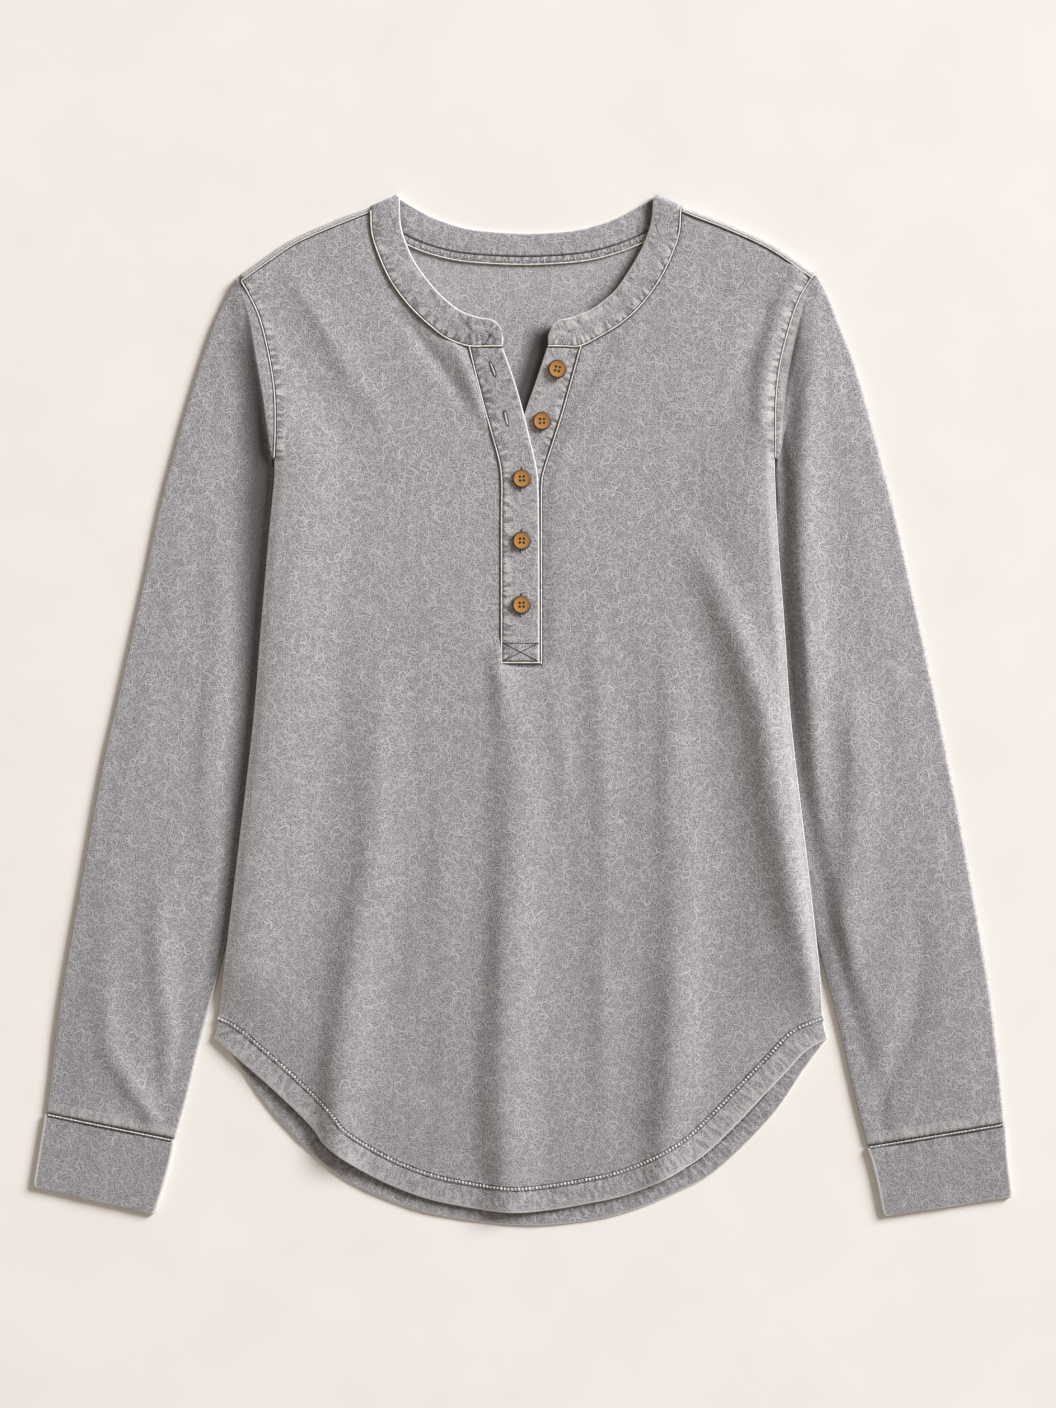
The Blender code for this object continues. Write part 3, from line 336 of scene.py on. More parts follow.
def lay_cloth(name, grid, wall, free=0, keep=None, ring=False, wear_and_painted_light=0, pucker=0, fold=1e3, thick=1):
    """A closed wall of jersey round a middle surface given as rows of points.

    free is 1 where the edge is worn and not sewn, 0 where it is sewn, keep says which cells are
    cloth, and ring joins the last column to the first. The value after ring is how worn or dark each
    point is, with painted shade and painted light in it as well as wear; pucker how much it is drawn
    up, fold its distance from a worn fold, and thick its share of the wall.
    """
    rows, columns = grid.shape[:2]
    cells = np.ones((rows - 1, columns if ring else columns - 1), bool) if keep is None else keep
    i, j = np.nonzero(cells)
    right = (j + 1) % columns
    quads = np.column_stack([i * columns + j, i * columns + right, (i + 1) * columns + right, (i + 1) * columns + j])
    used, quads = np.unique(quads, return_inverse=True)
    quads = quads.reshape(-1, 4)
    middle = grid.reshape(-1, 3)[used]
    wear_and_painted_light, pucker, fold, thick, free = (np.broadcast_to(k, (rows, columns)).reshape(-1)[used]
                                      for k in (wear_and_painted_light, pucker, fold, thick, free))
    square = np.cross(middle[quads[:, 2]] - middle[quads[:, 0]], middle[quads[:, 3]] - middle[quads[:, 1]])
    normal = np.zeros_like(middle)
    for k in range(4):
        np.add.at(normal, quads[:, k], square)
    normal = unit(normal)
    steep = rise(0.45, 1, normal @ (0.7, 0.7, 0))  # painted shade: rounded edges that face the lamp are drawn darker and lose their pale rim
    sides = np.concatenate([quads[:, [k, (k + 1) % 4]] for k in range(4)])
    key = np.sort(sides, axis=1)
    key = key[:, 0] * len(middle) + key[:, 1]
    _, place, times = np.unique(key, return_index=True, return_counts=True)
    border = sides[place[times == 1]]
    rim_points = np.unique(border)
    away = {}
    for kind, chosen in (("seam", rim_points[free[rim_points] < 0.1]), ("edge", rim_points[free[rim_points] > 0.9]),
                         ("any", rim_points)):
        away[kind], nearest = np.full(len(middle), 1e3), np.zeros(len(middle), int)
        if len(chosen):
            tree = kdtree.KDTree(len(chosen))
            for k, corner in enumerate(chosen):
                tree.insert(middle[corner], k)
            tree.balance()
            found = [tree.find(point)[1:] for point in middle]
            away[kind] = np.array([distance for _, distance in found])
            nearest = chosen[np.array([k for k, _ in found])]
    onward, before = dict(border.tolist()), dict(border[:, ::-1].tolist())
    passed, left = np.zeros(len(middle)), set(onward)
    tangent = np.zeros_like(middle)
    while left:
        spot, way = min(left), 0
        while spot in left:
            left.remove(spot)
            passed[spot] = way
            tangent[spot] = unit(middle[onward[spot]] - middle[before[spot]])
            way += np.linalg.norm(middle[onward[spot]] - middle[spot])
            spot = onward[spot]
    run = passed[nearest] + np.sum((middle - middle[nearest]) * tangent[nearest], axis=1)
    middle = middle - normal * (SEAM_SINK * bell(away["seam"]))[:, None]
    inward = np.clip(np.minimum(away["seam"], away["edge"]) / RIM_WIDTH, 0, 1)
    half = (wall / 2 * thick * (RIM_WALL + (1 - RIM_WALL) * np.sqrt(1 - (1 - inward) ** 2)))[:, None]
    count = len(middle)
    a, b = border.T
    faces = np.concatenate([quads, quads[:, ::-1] + count, np.column_stack([b, a, a + count, b + count])])
    mesh = bpy.data.meshes.new(name)
    mesh.from_pydata((np.concatenate([middle + normal * half, middle - normal * half]) * MM).tolist(), [],
                     faces.tolist())
    mesh.shade_smooth()
    for title, values in (("seam", away["seam"]), ("edge", np.minimum(away["edge"], fold)), ("painted_lit_edge_shade", steep),
                          ("wear_and_painted_light", wear_and_painted_light - 0.6 * steep), ("run", run), ("pucker", pucker)):
        layer = mesh.attributes.new(title, "FLOAT", "POINT")
        layer.data.foreach_set("value", np.tile(values, 2).astype(np.float32))
    shift = 137 * (len(bpy.data.meshes) % 17)
    flat = np.tile(middle[:, :2] + shift, (2, 1))
    uv = mesh.uv_layers.new(name="weave")
    corners = np.zeros(len(mesh.loops), np.int32)
    mesh.loops.foreach_get("vertex_index", corners)
    uv.data.foreach_set("uv", flat[corners].reshape(-1).astype(np.float32))
    mesh.materials.append(washed_jersey)
    return new_object(name, mesh)


def inside_side(x, y):
    """Distance inwards from the nearer side seam, growing above the underarm."""
    heights, left, right = np.array(BODY_SIDES).T
    from_left = x - np.interp(y, heights, left)
    from_right = np.interp(y, heights, right) - x
    return np.minimum(from_left, from_right) + ARMHOLE_CLIMB * np.maximum(0, y - heights[-1])


def back_middle(x, y):
    """Height of the middle of the back's wall, which rises over the sleeves."""
    strip = rise(LIFT_RAMP, LIFT_FLAT, inside_side(x, y))
    bend = np.where(x < 0, *EDGE_DROP) * np.clip(1 - inside_side(x, y) / EDGE_ROUND, 0, 1) ** 2
    return JERSEY / 2 + (SLEEVE_LIFT - bend) * strip * rise(*LIFT_ENDS_Y, y)


def fold_out(section):
    """The way out of the neckband's fold, square to a section at the shoulder."""
    run = unit(section[2:4] - section[:2])
    out = np.array([-run[1], run[0]])
    return out if out[1] > 0 else -out


def neck_line(sections, side):
    """A neckband's seam edge moved outwards by the seam gap."""
    return sideways(sections[:, :2], side * SEAM_GAP)


def outer_line(side, inset, neck_corner, low_cells, shoulder_cells):
    """The edge of a panel from the hem up the side, round the armhole and along the shoulder."""
    table = np.array(BODY_SIDES)
    armhole = spline(ARMHOLES[side])
    armhole = at(armhole, np.linspace(0, reach(armhole)[-1] - inset, 60))
    low = np.vstack([spline(table[:, [1 if side < 0 else 2, 0]]), armhole[1:]])
    low = at(low, places(reach(low)[-1], low_cells, end=False))
    shoulder = spline(SHOULDERS[side])
    shoulder = at(shoulder, places(reach(shoulder)[-1], shoulder_cells, start=False))
    shoulder = sideways(shoulder, side * inset)
    run = reach(shoulder)
    for end, target in ((0, low[-1]), (-1, neck_corner)):
        ease = rise(SHOULDER_EASE, 0, np.abs(run - run[end]))
        shoulder = shoulder + ease[:, None] * (target - shoulder[end])
    return np.vstack([low, shoulder[1:]])


def shoulder_roll(edge, armhole_end, section):
    """Columns that roll a shoulder edge of the back up and over, edge first."""
    run = reach(edge)
    out = unit(np.gradient(edge, axis=0))
    out = np.column_stack([-out[:, 1], out[:, 0]])
    out *= np.sign(out[len(out) // 2, 1])
    for end, target in ((0, unit(armhole_end)), (-1, fold_out(section))):
        ease = rise(ROLL_EASE, 0, np.abs(run - run[end]))[:, None]
        out = unit(out * (1 - ease) + target * ease)
    columns = []
    for angle in np.linspace(0, math.pi, ROLL_STEPS + 1)[1:]:
        columns.append(with_height(edge + out * ROLL_RADIUS * math.sin(angle),
                                   JERSEY / 2 + ROLL_RADIUS * (1 - math.cos(angle))))
    width = np.full(len(edge), SHOULDER_ROLL - SEAM_GAP - ROLL_RADIUS - JERSEY / 2)
    near_band = rise(BAND_EASE, 0, run[-1] - run)
    width -= near_band * (width[-1] - (SHOULDER_ROLL - SEAM_GAP - BAND_INSET - CORNER_EASE))
    for share in (0.5, 1):
        columns.append(with_height(edge - out * (share * width)[:, None], columns[ROLL_STEPS - 1][:, 2]))
    return np.array(columns)


def dress(piece, solid):
    """Puts a piece of cloth in the place of one solid: hangs it from the root and hides the solid."""
    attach(piece, "root")
    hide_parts(solid)


band_back = spline(BAND_BACK)
band_back_run = reach(band_back)[-1]
sections = at(band_back, places(band_back_run, BACK_STEPS[2]))
neck = neck_line(sections, -1)
for end in (0, -1):
    neck[end] -= CORNER_EASE * unit(sections[end, 2:4] - sections[end, :2])
edges = [outer_line(side, ROLL_RADIUS + JERSEY / 2, neck[end], *BACK_STEPS[:2]) for side, end in ((-1, 0), (1, -1))]
hem_back = spline(HEM_BACK)
plan = patch(at(hem_back, places(reach(hem_back)[-1], BACK_STEPS[2])), neck, *edges)
from_hem, hem_run = from_line(plan, hem_back)
turned_up = rise(HEM_DEPTH + 0.4, HEM_DEPTH - 1, from_hem)
roping = mottle(hem_run / 4 + from_hem / 9, from_hem / 16, 3) * turned_up
hem_front = spline(HEM_FRONT)
below_front = from_line(plan, hem_front)[0]  # painted shadow just under the front's edge, strongest on the left
in_the_slit = from_line(plan, SLIT_SHADE)[0]  # painted shadow inside the slit
by_the_neck = from_line(plan, NECK_SHADE)[0]  # and painted shadow under the neckband's right side
wear_and_painted_light = 0.25 * rise(230, 290, plan[..., 1]) - 0.12 * turned_up - 1.9 * bell(in_the_slit / 9.5)
wear_and_painted_light -= 1.2 * bell(by_the_neck / 7) + 0.9 * bell(below_front / 2.2) * (1 - 0.6 * rise(-60, 60, plan[..., 0]))
wear_and_painted_light += 0.4 * bell(from_hem / 1.8)
height = back_middle(plan[..., 0], plan[..., 1]) + turned_up * HEM_EXTRA / 2 + 0.12 * roping
flat = with_height(plan, height)
first = BACK_STEPS[0]
added = ROLL_STEPS + 2
rolled = np.zeros((plan.shape[0], plan.shape[1] + 2 * added, 3))
rolled[:, added:-added] = flat
for edge_line, section, way in ((edges[0], sections[0], -1), (edges[1], sections[-1], 1)):
    roll = shoulder_roll(edge_line[first:], edge_line[first] - edge_line[first - 1], section)
    for k, column in enumerate(roll):
        rolled[first:, added - 1 - k if way < 0 else plan.shape[1] + added + k] = column
cloth_here = np.ones((rolled.shape[0] - 1, rolled.shape[1] - 1), bool)
cloth_here[:first, :added] = False
cloth_here[:first, -added:] = False


def widen(values):
    """Values of the flat part, with those at its edges carried on over the rolled columns."""
    return np.pad(values, ((0, 0), (added, added)), mode="edge")


rolled_wear_and_painted_light = widen(wear_and_painted_light)
rolled_wear_and_painted_light[first:, :added] = rolled_wear_and_painted_light[first:, -added:] = 0.7
back_panel = lay_cloth("back_panel", rolled, JERSEY, rolled[..., 1] < -219, cloth_here, wear_and_painted_light=rolled_wear_and_painted_light,
                       pucker=widen(0.3 * turned_up), thick=widen(1 + turned_up * HEM_EXTRA / JERSEY))
dress(back_panel, "back")

# ---------------------------------------------------------------- Front panel
# One piece of the same jersey, slit at the centre for the plackets, with a shorter curved hem. It
# is seamed to the back's rolled shoulders, and the cloth lies in long soft folds down from the chest.

LAYER_GAP = 0.3  # between pieces that lie on each other
BODY_GAP, SKIRT_GAP = 2.3, 2.4
GAP_EASE_Y = (-60, 150)
GAP_RANGE = (0.1, 9)
SIDE_FALL, FOLD_FALL = (9, 50), 11
REST_WIDTH, REST_SHARE = 50, 0.5  # beside its hem the cloth lies down by this share
STAND_Y = (172, 200)
STAND_HEIGHT, STAND_OUT, STAND_WIDTH = 1.7, 10, 5.5  # the right armhole stands up beside its seam
GROOVE_DEPTH, GROOVE_WIDTH = 0.7, 4  # and dips at the seam
PLACKET_FOOT_Y = 30.8
PLACKET_DIP, PLACKET_DIP_WIDTH = 1.4, 11
UNDER_RISE_Y = (198, 240)  # where the lower placket rises to the neckband
FRONT_STEPS = (194, 38)  # cells up the side and armhole, and along a shoulder
SLIT_STEPS = 94  # of these rows, those beside the plackets
HALF_STEPS, STRIP_STEPS = 88, 10

BANDS = {  # seam x, seam y, free x, free y, middle height: shoulder to placket
    -1: ((-101.6, 334, -82.1, 342.4, 5), (-100.6, 318.5, -81.3, 325, 5), (-95.8, 303.5, -77.8, 312.5, 5),
        (-89, 288.6, -71.5, 299, 5), (-81, 276.8, -64.5, 289, 5), (-72, 266.4, -57, 280, 5),
        (-61.5, 256.8, -48.5, 272.2, 5), (-50, 248.3, -40.5, 266.6, 5), (-35.6, 243.4, -28.5, 262.5, 4.9)),
    1: ((105.6, 334.6, 87.5, 342.4, 5), (104.6, 319.5, 86, 327, 5), (100, 305.3, 82, 314, 5),
        (93.8, 291.8, 76.3, 302.3, 5), (86.3, 280, 69.5, 291.3, 5), (77.4, 269, 62, 280.8, 5),
        (67.5, 260, 54, 273.6, 5), (55.5, 252.2, 45, 267.4, 4.9), (38.9, 243.6, 32.5, 262.4, 4.7)),
}
PLACKETS = {  # left x, right x, y: neckband to bottom
    -1: ((-35.3, -13.4, 242.9), (-30, -5.6, 221), (-24.4, 0.6, 199.5), (-19.4, 4.8, 182), (-15.1, 8.7, 166),
        (-13.6, 10.5, 153), (-13.7, 11.1, 127), (-13.7, 11.3, 79), (-13.7, 11.3, 31.2)),
    1: ((16.6, 38.5, 242.9), (9.3, 32.5, 221), (1.4, 26.2, 198.6), (-4.4, 20.3, 180), (-10, 14.8, 163),
        (-13, 12.5, 152), (-13.2, 12.3, 127), (-13.2, 12.3, 79), (-13.2, 12.3, 31.2)),
}
BODY_FOLDS = (  # width to the left and right of a crest, then its y, x and height: a trough's is below 0
    (13, 16, ((-345, -121, 3.6), (-300, -123, 4.6), (-260, -124, 5.4), (-210, -118, 5.4), (-160, -112, 4.8),
        (-110, -103, 3.8), (-60, -100, 2.8), (-10, -98, 1.8), (40, -100, 0))),
    (14, 18, ((-350, -10, 3.8), (-300, -11.5, 5.4), (-260, -13.5, 5.8), (-210, -12, 5.8), (-160, -10, 5.4),
        (-110, -7, 4.4), (-60, -5, 3.6), (-10, -6.5, 2.6), (10, -9, 1.8), (30, -12, 0))),
    (14, 16, ((-345, 93, 5), (-300, 96, 6), (-260, 99, 6.2), (-210, 101, 5.4), (-160, 103, 4.2), (-110, 105, 3),
        (-60, 103, 2), (-10, 103, 1.3), (40, 104, 0))),
    (13, 10, ((-212, 203, 0.6), (-185, 197, 2.6), (-138, 184.5, 4.8), (-101, 176.5, 5.2), (-44, 167, 5.2),
        (-4, 161, 5), (43, 146, 4.2), (90, 127, 2.8), (112, 116, 1), (130, 108, 0))),
    (8, 9, ((-290, 55, 0.3), (-210, 54, 1.2), (-160, 53, 0.8), (-110, 54, 0.9), (-60, 54, 1.3), (-10, 52, 1.5),
        (40, 49, 0.8), (70, 48, 0))),
    (6, 7, ((-100, 31, 0), (-50, 29, 0.6), (-10, 23, 1.1), (30, 22, 0))),
    (9, 14, ((-250, -50, 0), (-180, -53, 0.8), (-110, -55, 1), (-50, -50, 0))),
    (7, 12, ((-120, 93, 0), (-60, 96, 0.8), (20, 98, 1), (60, 99, 0))),
    (8, 18, ((-200, -190, 0.3), (-150, -186, 0.6), (-60, -176, 0.5), (60, -160, 0.4), (120, -150, 0))),
    (6.5, 8, ((-20, -11, 0), (10, -13, 1.5), (32, -16, 2.1), (50, -13, 0))),
    (9, 11, ((178, -86, 0), (215, -110, 1.2), (245, -126, 1.6), (275, -144, 1.2), (296, -156, 0))),
    (8, 8, ((205, 142, 0), (235, 152, -1.2), (262, 163, -1.3), (282, 171, 0))),
    (6, 6, ((182, -19, 0), (200, -27, 1.4), (217, -34, 1.8), (240, -44, 1.5), (256, -52, 0.3))),
    (6, 6, ((195, -36, 0), (222, -50, -1.2), (246, -67, -1.3), (270, -85, 0))),
    (6, 6, ((192, 28, 0), (212, 38, -1.4), (240, 55, -1.5), (264, 72, 0))),
)
HEM_FOLDS = (  # x, and how much of the folds is left where the hem lies down
    (-206, 0.1), (-152, 0.15), (-140, 0.8), (-122, 1), (-108, 0.7), (-96, 0.25), (-60, 0.1), (-34, 0.25), (-20, 0.8),
    (-10, 0.9), (4, 0.65), (20, 0.2), (58, 0.15), (76, 0.5), (90, 0.7), (104, 0.5), (125, 0.2), (204, 0.1),
)


def fold_height(x, y, folds):
    """Sum of the long ridges and troughs of a table at each point."""
    total = np.zeros(np.shape(x))
    for left, right, crest in folds:
        ys, xs, heights = spline(crest, 8).T
        aside = x - np.interp(y, ys, xs)
        total += np.interp(y, ys, heights) * bell(aside / np.where(aside < 0, left, right))
    return total


def front_middle(x, y):
    """Height of the middle of the front's wall."""
    loose = SKIRT_GAP + (BODY_GAP - SKIRT_GAP) * rise(*GAP_EASE_Y, y)
    under = np.array(PLACKETS[1])[::-1]
    from_seam = x - np.interp(y, under[:, 2], under[:, 1])
    beside = (from_seam > -1) * (y > PLACKET_FOOT_Y)
    dip = PLACKET_DIP * beside * rise(PLACKET_DIP_WIDTH, 0, from_seam)
    dip *= 1 - rise(*UNDER_RISE_Y, y)
    slack = 0.3 * mottle(x / 38, y / 75, 5) + 0.12 * mottle(x / 13, y / 22, 6)
    slack += 0.2 * mottle(x / 8, y / 80, 7) * rise(120, -20, y)
    inside, spots = inside_side(x, y), np.stack([x, y], axis=-1)
    rest = rise(REST_WIDTH, 0, from_line(spots, hem_front[::8])[0])
    gap = (loose + slack - dip) * (1 - REST_SHARE * rest)
    gap *= 0.45 * rise(0, SIDE_FALL[0], inside) + 0.55 * rise(0, SIDE_FALL[1], inside)
    left_at_hem = 1 - rest * (1 - np.interp(x, *np.array(HEM_FOLDS).T))
    gap += fold_height(x, y, BODY_FOLDS) * rise(0, FOLD_FALL, inside) * left_at_hem
    from_armhole = from_line(spots, spline(ARMHOLES[1], 4))[0]
    stand = STAND_HEIGHT * bell((from_armhole - STAND_OUT) / STAND_WIDTH)
    gap += (stand - GROOVE_DEPTH * bell(from_armhole / GROOVE_WIDTH)) * rise(*STAND_Y, y)
    return back_middle(x, y) + JERSEY + LAYER_GAP + np.clip(gap, *GAP_RANGE) * rise(0, 4, inside)


below_steps = sum(FRONT_STEPS) - SLIT_STEPS
halves, seams = {}, {}
for side in (-1, 1):
    neck = neck_line(rows_of(BANDS[side], np.linspace(0, 1, 240)), side)
    neck = at(neck, SHOULDER_ROLL - BAND_INSET + places(reach(neck)[-1] - SHOULDER_ROLL + BAND_INSET, HALF_STEPS))
    outer = outer_line(side, SHOULDER_ROLL, neck[0], *FRONT_STEPS)
    placket = rows_of(PLACKETS[side], np.linspace(1, 0, 240))
    slit = np.column_stack([placket[:, 0 if side < 0 else 1] + side * SEAM_GAP, placket[:, 2]])
    slit[0, 1] = PLACKET_FOOT_Y
    slit[-1] = neck[-1]
    hem_reach = reach(hem_front)
    middle_reach = np.interp(slit[0, 0], hem_front[:, 0], hem_reach)
    if side < 0:
        hem = at(hem_front, places(middle_reach, HALF_STEPS))
    else:
        hem = at(hem_front, hem_reach[-1] - places(hem_reach[-1] - middle_reach, HALF_STEPS))
    below = places(PLACKET_FOOT_Y - hem[-1, 1], below_steps, end=False) + hem[-1, 1]
    middle = np.vstack([np.column_stack([np.full(len(below), slit[0, 0]), below]),
                        at(slit, places(reach(slit)[-1], SLIT_STEPS, start=False))[1:]])
    halves[side] = patch(hem, neck, outer, middle)
    seams[side] = {"neck": neck, "slit": slit, "armhole": spline(ARMHOLES[side]), "shoulder": outer[FRONT_STEPS[0]:]}
left, right = halves[-1], halves[1][:, ::-1]
strip = left[:, -1:] + (right[:, :1] - left[:, -1:]) * np.linspace(0, 1, STRIP_STEPS + 1)[None, 1:-1, None]
hem_drop = np.interp(strip[0, :, 0], hem_front[:, 0], hem_front[:, 1]) - strip[0, :, 1]
strip[..., 1] += hem_drop * rise(60, 0, strip[..., 1] - strip[:1, :, 1])
plan = np.concatenate([left, strip, right], axis=1)
x, y = plan[..., 0], plan[..., 1]
cloth_here = np.ones((plan.shape[0] - 1, plan.shape[1] - 1), bool)
cloth_here[below_steps:, HALF_STEPS:HALF_STEPS + STRIP_STEPS] = False

drawn_up = np.zeros(plan.shape[:2])
for side in (-1, 1):
    for seam_name, strength, depth in (("neck", 0.25, 5), ("slit", 0.3, 5), ("armhole", 0.75, 6),
                                       ("shoulder", 0.2, 5)):
        near = from_line(plan, seams[side][seam_name][:, :2])[0]
        drawn_up = np.maximum(drawn_up, strength * bell(near / depth, 4))
from_hem = from_line(plan, hem_front)[0]
turned_up = rise(HEM_DEPTH + 0.4, HEM_DEPTH - 1, from_hem)
drawn_up = np.maximum(drawn_up, 0.28 * rise(HEM_DEPTH + 5, HEM_DEPTH, from_hem))
edge_lift = 0.35 * bell(from_hem / 6) * rise(0, 45, inside_side(x, y))
height = front_middle(x, y) + turned_up * 0.75 * HEM_EXTRA + edge_lift
# a worn pale rim on the left edge, and painted light just inside both side edges, strongest inside the right edge
# that faces the lamp
from_right = from_line(plan, np.vstack([np.array(BODY_SIDES)[:-1, [2, 0]], spline(ARMHOLES[1], 6)]))[0]
from_left = from_line(plan, np.array(BODY_SIDES)[:, [1, 0]])[0]
wear_and_painted_light = (0.5 * bell((from_right - 3.8) / 3.2) + 0.4 * bell(from_left / 1.6)
       + 0.38 * bell((from_left - 6) / 4)) * rise(-218, -190, y)
wear_and_painted_light += 0.45 * bell(from_line(plan, seams[-1]["neck"])[0] / 2.5)  # painted light beside the left neck seam, lifting the shadow that the raised band casts there
wear_and_painted_light += 0.5 * bell(from_hem / 1.8) + 0.2 * turned_up * rise(60, 120, np.abs(x))
front_panel = lay_cloth("front_panel", with_height(plan, height), JERSEY,
                        ((y < 166) & (np.abs(x) > 25)) | (y < -300), cloth_here,
                        wear_and_painted_light=wear_and_painted_light, pucker=drawn_up, thick=1 + turned_up * HEM_EXTRA / JERSEY)
dress(front_panel, "front")

# ---------------------------------------------------------------- Sleeves
# Each sleeve is one piece of the jersey, seamed along its length into a tube that lies flat, with
# its inner edge under the body. Beside the armhole a narrow strip lies level and folds down to it.

SLEEVE_FLAT = 2.35
SLEEVE_RISE, CREASE_RISE = {-1: (14, 45), 1: (10, 24)}, (9, 20)
SLEEVE_EDGE, SLEEVE_EDGE_FALL = 25, {-1: 0.75, 1: 0.4}
SLEEVE_FULLEST = 3.4
LOWEST_SLEEVE = 2.05
ROUNDING = 0.6  # width of a tube's rounded edge as a share of its height
COVER_SHADE = {  # y, width and strength of the painted shade on the sleeve beside the body's edge and the armhole strip
    -1: ((-200, 4, 1.6), (-150, 4.8, 1.6), (-100, 5.5, 1.6), (-50, 8.5, 1.6), (0, 9, 1.6), (50, 11.5, 1.6),
        (100, 16.5, 1.5), (150, 20, 1.5), (168, 19.5, 1.5), (200, 16.5, 1.5), (225, 14, 1.5), (240, 12.5, 1.5),
        (255, 8, 1.4), (270, 2.5, 0.9), (285, 0, 0.4)),
    1: ((-200, 7, 1.1), (-160, 6, 0.9), (-140, 1, 0.8), (-100, 0, 0.9), (-50, -5, 1.1), (0, 4, 1.1), (50, 6, 1.1),
        (100, 10, 0.9), (150, 12, 0.8), (168, 12, 0.85), (200, 13, 1.1), (225, 12, 1.2), (240, 9, 1.35),
        (255, 5.5, 1.25), (270, 2, 0.9), (285, 0, 0.4)),
}
CAP_FOLD, CAP_DROP, CAP_BOW, CAP_DROP_RUN = {-1: 7.2, 1: 5.8}, 3.6, 0.8, 0.35
SLEEVE_STEPS = (46, 196)  # points across, and rings below the armhole strip
STRIP_RINGS = (0, 0.06, 0.14, 0.29, 0.5, 0.71, 0.86, 0.96, 1.04, 1.13, 1.23, 1.36, 1.51)  # shares of its width
SLEEVES = {  # outer x, outer y, inner x, inner y, fullness: armhole to cuff
    -1: ((-198.5, 275.5, -166.9, 161, 1.3), (-208, 254, -167.4, 151, 1.4), (-217.5, 226, -168.6, 138, 1.1),
        (-229.5, 186, -164.5, 116, 1), (-242, 139, -162.5, 85, 1), (-255.5, 77, -167.5, 42, 1),
        (-267.7, 22, -172.5, -12, 1.1), (-281, -36, -180, -62, 1.3), (-294, -107, -191.5, -124, 1.9),
        (-304, -163, -203.2, -176, 2.1), (-311.5, -208, -214.5, -217, 2), (-316, -247, -224.6, -259, 1.6),
        (-318.8, -269.8, -232.4, -287.4, 0.9)),
    1: ((204.5, 276.5, 169.8, 161, 1.6), (213, 255, 170.2, 151, 1.9), (223, 229, 170.8, 138, 2.2),
        (235.5, 185, 167.2, 116, 2.4), (248, 137.5, 164.5, 85, 2.6), (262, 75, 168.3, 42, 2.6),
        (273.5, 22, 172.5, -12, 2.6), (285.5, -36, 178.8, -62, 2.4), (299, -107, 189.6, -124, 2.4),
        (308.8, -163, 202.6, -176, 2.4), (315.5, -208, 213, -217, 2.2), (320, -250, 222.5, -259, 1.7),
        (322.6, -276.5, 230.8, -291.9, 0.9)),
}
SLEEVE_FOLDS = {
    -1: (
        (9, 8, ((-290, -234, 0.5), (-268, -250, 2), (-250, -262, 2.4), (-228, -275, 2.2), (-185, -279, 1.2),
            (-140, -276, 0))),
        (8, 7, ((-290, -226, 0.5), (-270, -230, 1.8), (-218, -236, 2.4), (-155, -243, 1.8), (-100, -243, 0))),
        (8, 12, ((-185, -216, 0), (-110, -208, 1), (-60, -210, 1.6), (-10, -207, 1.4), (40, -203, 1),
            (90, -203, 0.9), (150, -204, 0))),
    ),
    1: (
        (9, 13, ((-145, 195, 0), (-110, 191, 1.6), (-60, 189.5, 3.2), (-10, 191, 4.4), (40, 188.5, 4.8),
            (90, 188, 4.8), (130, 187.5, 4.2), (180, 188, 3.6), (220, 190, 3), (250, 194, 1.6), (268, 198, 0))),
        (10, 14, ((-240, 209, 0), (-210, 210.5, 1.8), (-160, 211, 3.2), (-110, 218, 3.2), (-60, 224, 3),
            (-10, 221, 2.4), (40, 214, 0))),
        (9, 9, ((-292, 226, -1), (-279, 230, -2.2), (-256, 238, -2.4), (-222, 256, -2), (-190, 264, -1.6),
            (-156, 265, -1.2), (-110, 262, 0))),
        (9, 12, ((130, 249, 0), (164, 243, 1.2), (214, 232, 1), (245, 226, 0))),
    ),
}


def lower_points(count):
    """Which of the upper wall's points the lower wall has too, from the inner edge."""
    return np.unique(np.append(np.arange(0, count, 3), count - 1))[::-1]


def tube_ring(plan, upper, lower):
    """One ring of a flattened tube: the upper wall outer edge to inner, then the lower wall back."""
    ends = []
    for tip, inner, high, low in ((plan[0], plan[1], upper[0], lower[0]), (plan[-1], plan[-2], upper[-1], lower[-1])):
        half = (high - low) / 2
        angles = np.radians((60, 30, 0, -30, -60))[:, None]
        spots = tip + unit(tip - inner) * ROUNDING * half * np.cos(angles)
        ends.append(np.column_stack([spots, (high + low) / 2 + half * np.sin(angles[:, 0])]))
    return np.vstack([with_height(plan, upper), ends[1], with_height(plan, lower)[lower_points(len(plan))],
                      ends[0][::-1]])


def round_the_ring(values, ends):
    """Values for a whole ring from those of its upper wall, with one value for each rounded end."""
    under = lower_points(values.shape[1])
    side = np.full((len(values), 5), ends)
    return np.concatenate([values, side, values[:, under] + 10 * (ends > 0), side], axis=1)


def inset_ends(plan, upper, lower, wall, share=1):
    """Draw a line's points in, so that the rounded edges reach its true ends."""
    length = np.linalg.norm(plan[-1] - plan[0])
    start = (ROUNDING * (upper[0] - lower[0]) / 2 + wall / 2) / length * share
    end = 1 - (ROUNDING * (upper[-1] - lower[-1]) / 2 + wall / 2) / length * share
    t = np.linspace(start, end, len(plan))
    whole = np.linspace(0, 1, len(plan))
    return np.column_stack([np.interp(t, whole, column) for column in plan.T])


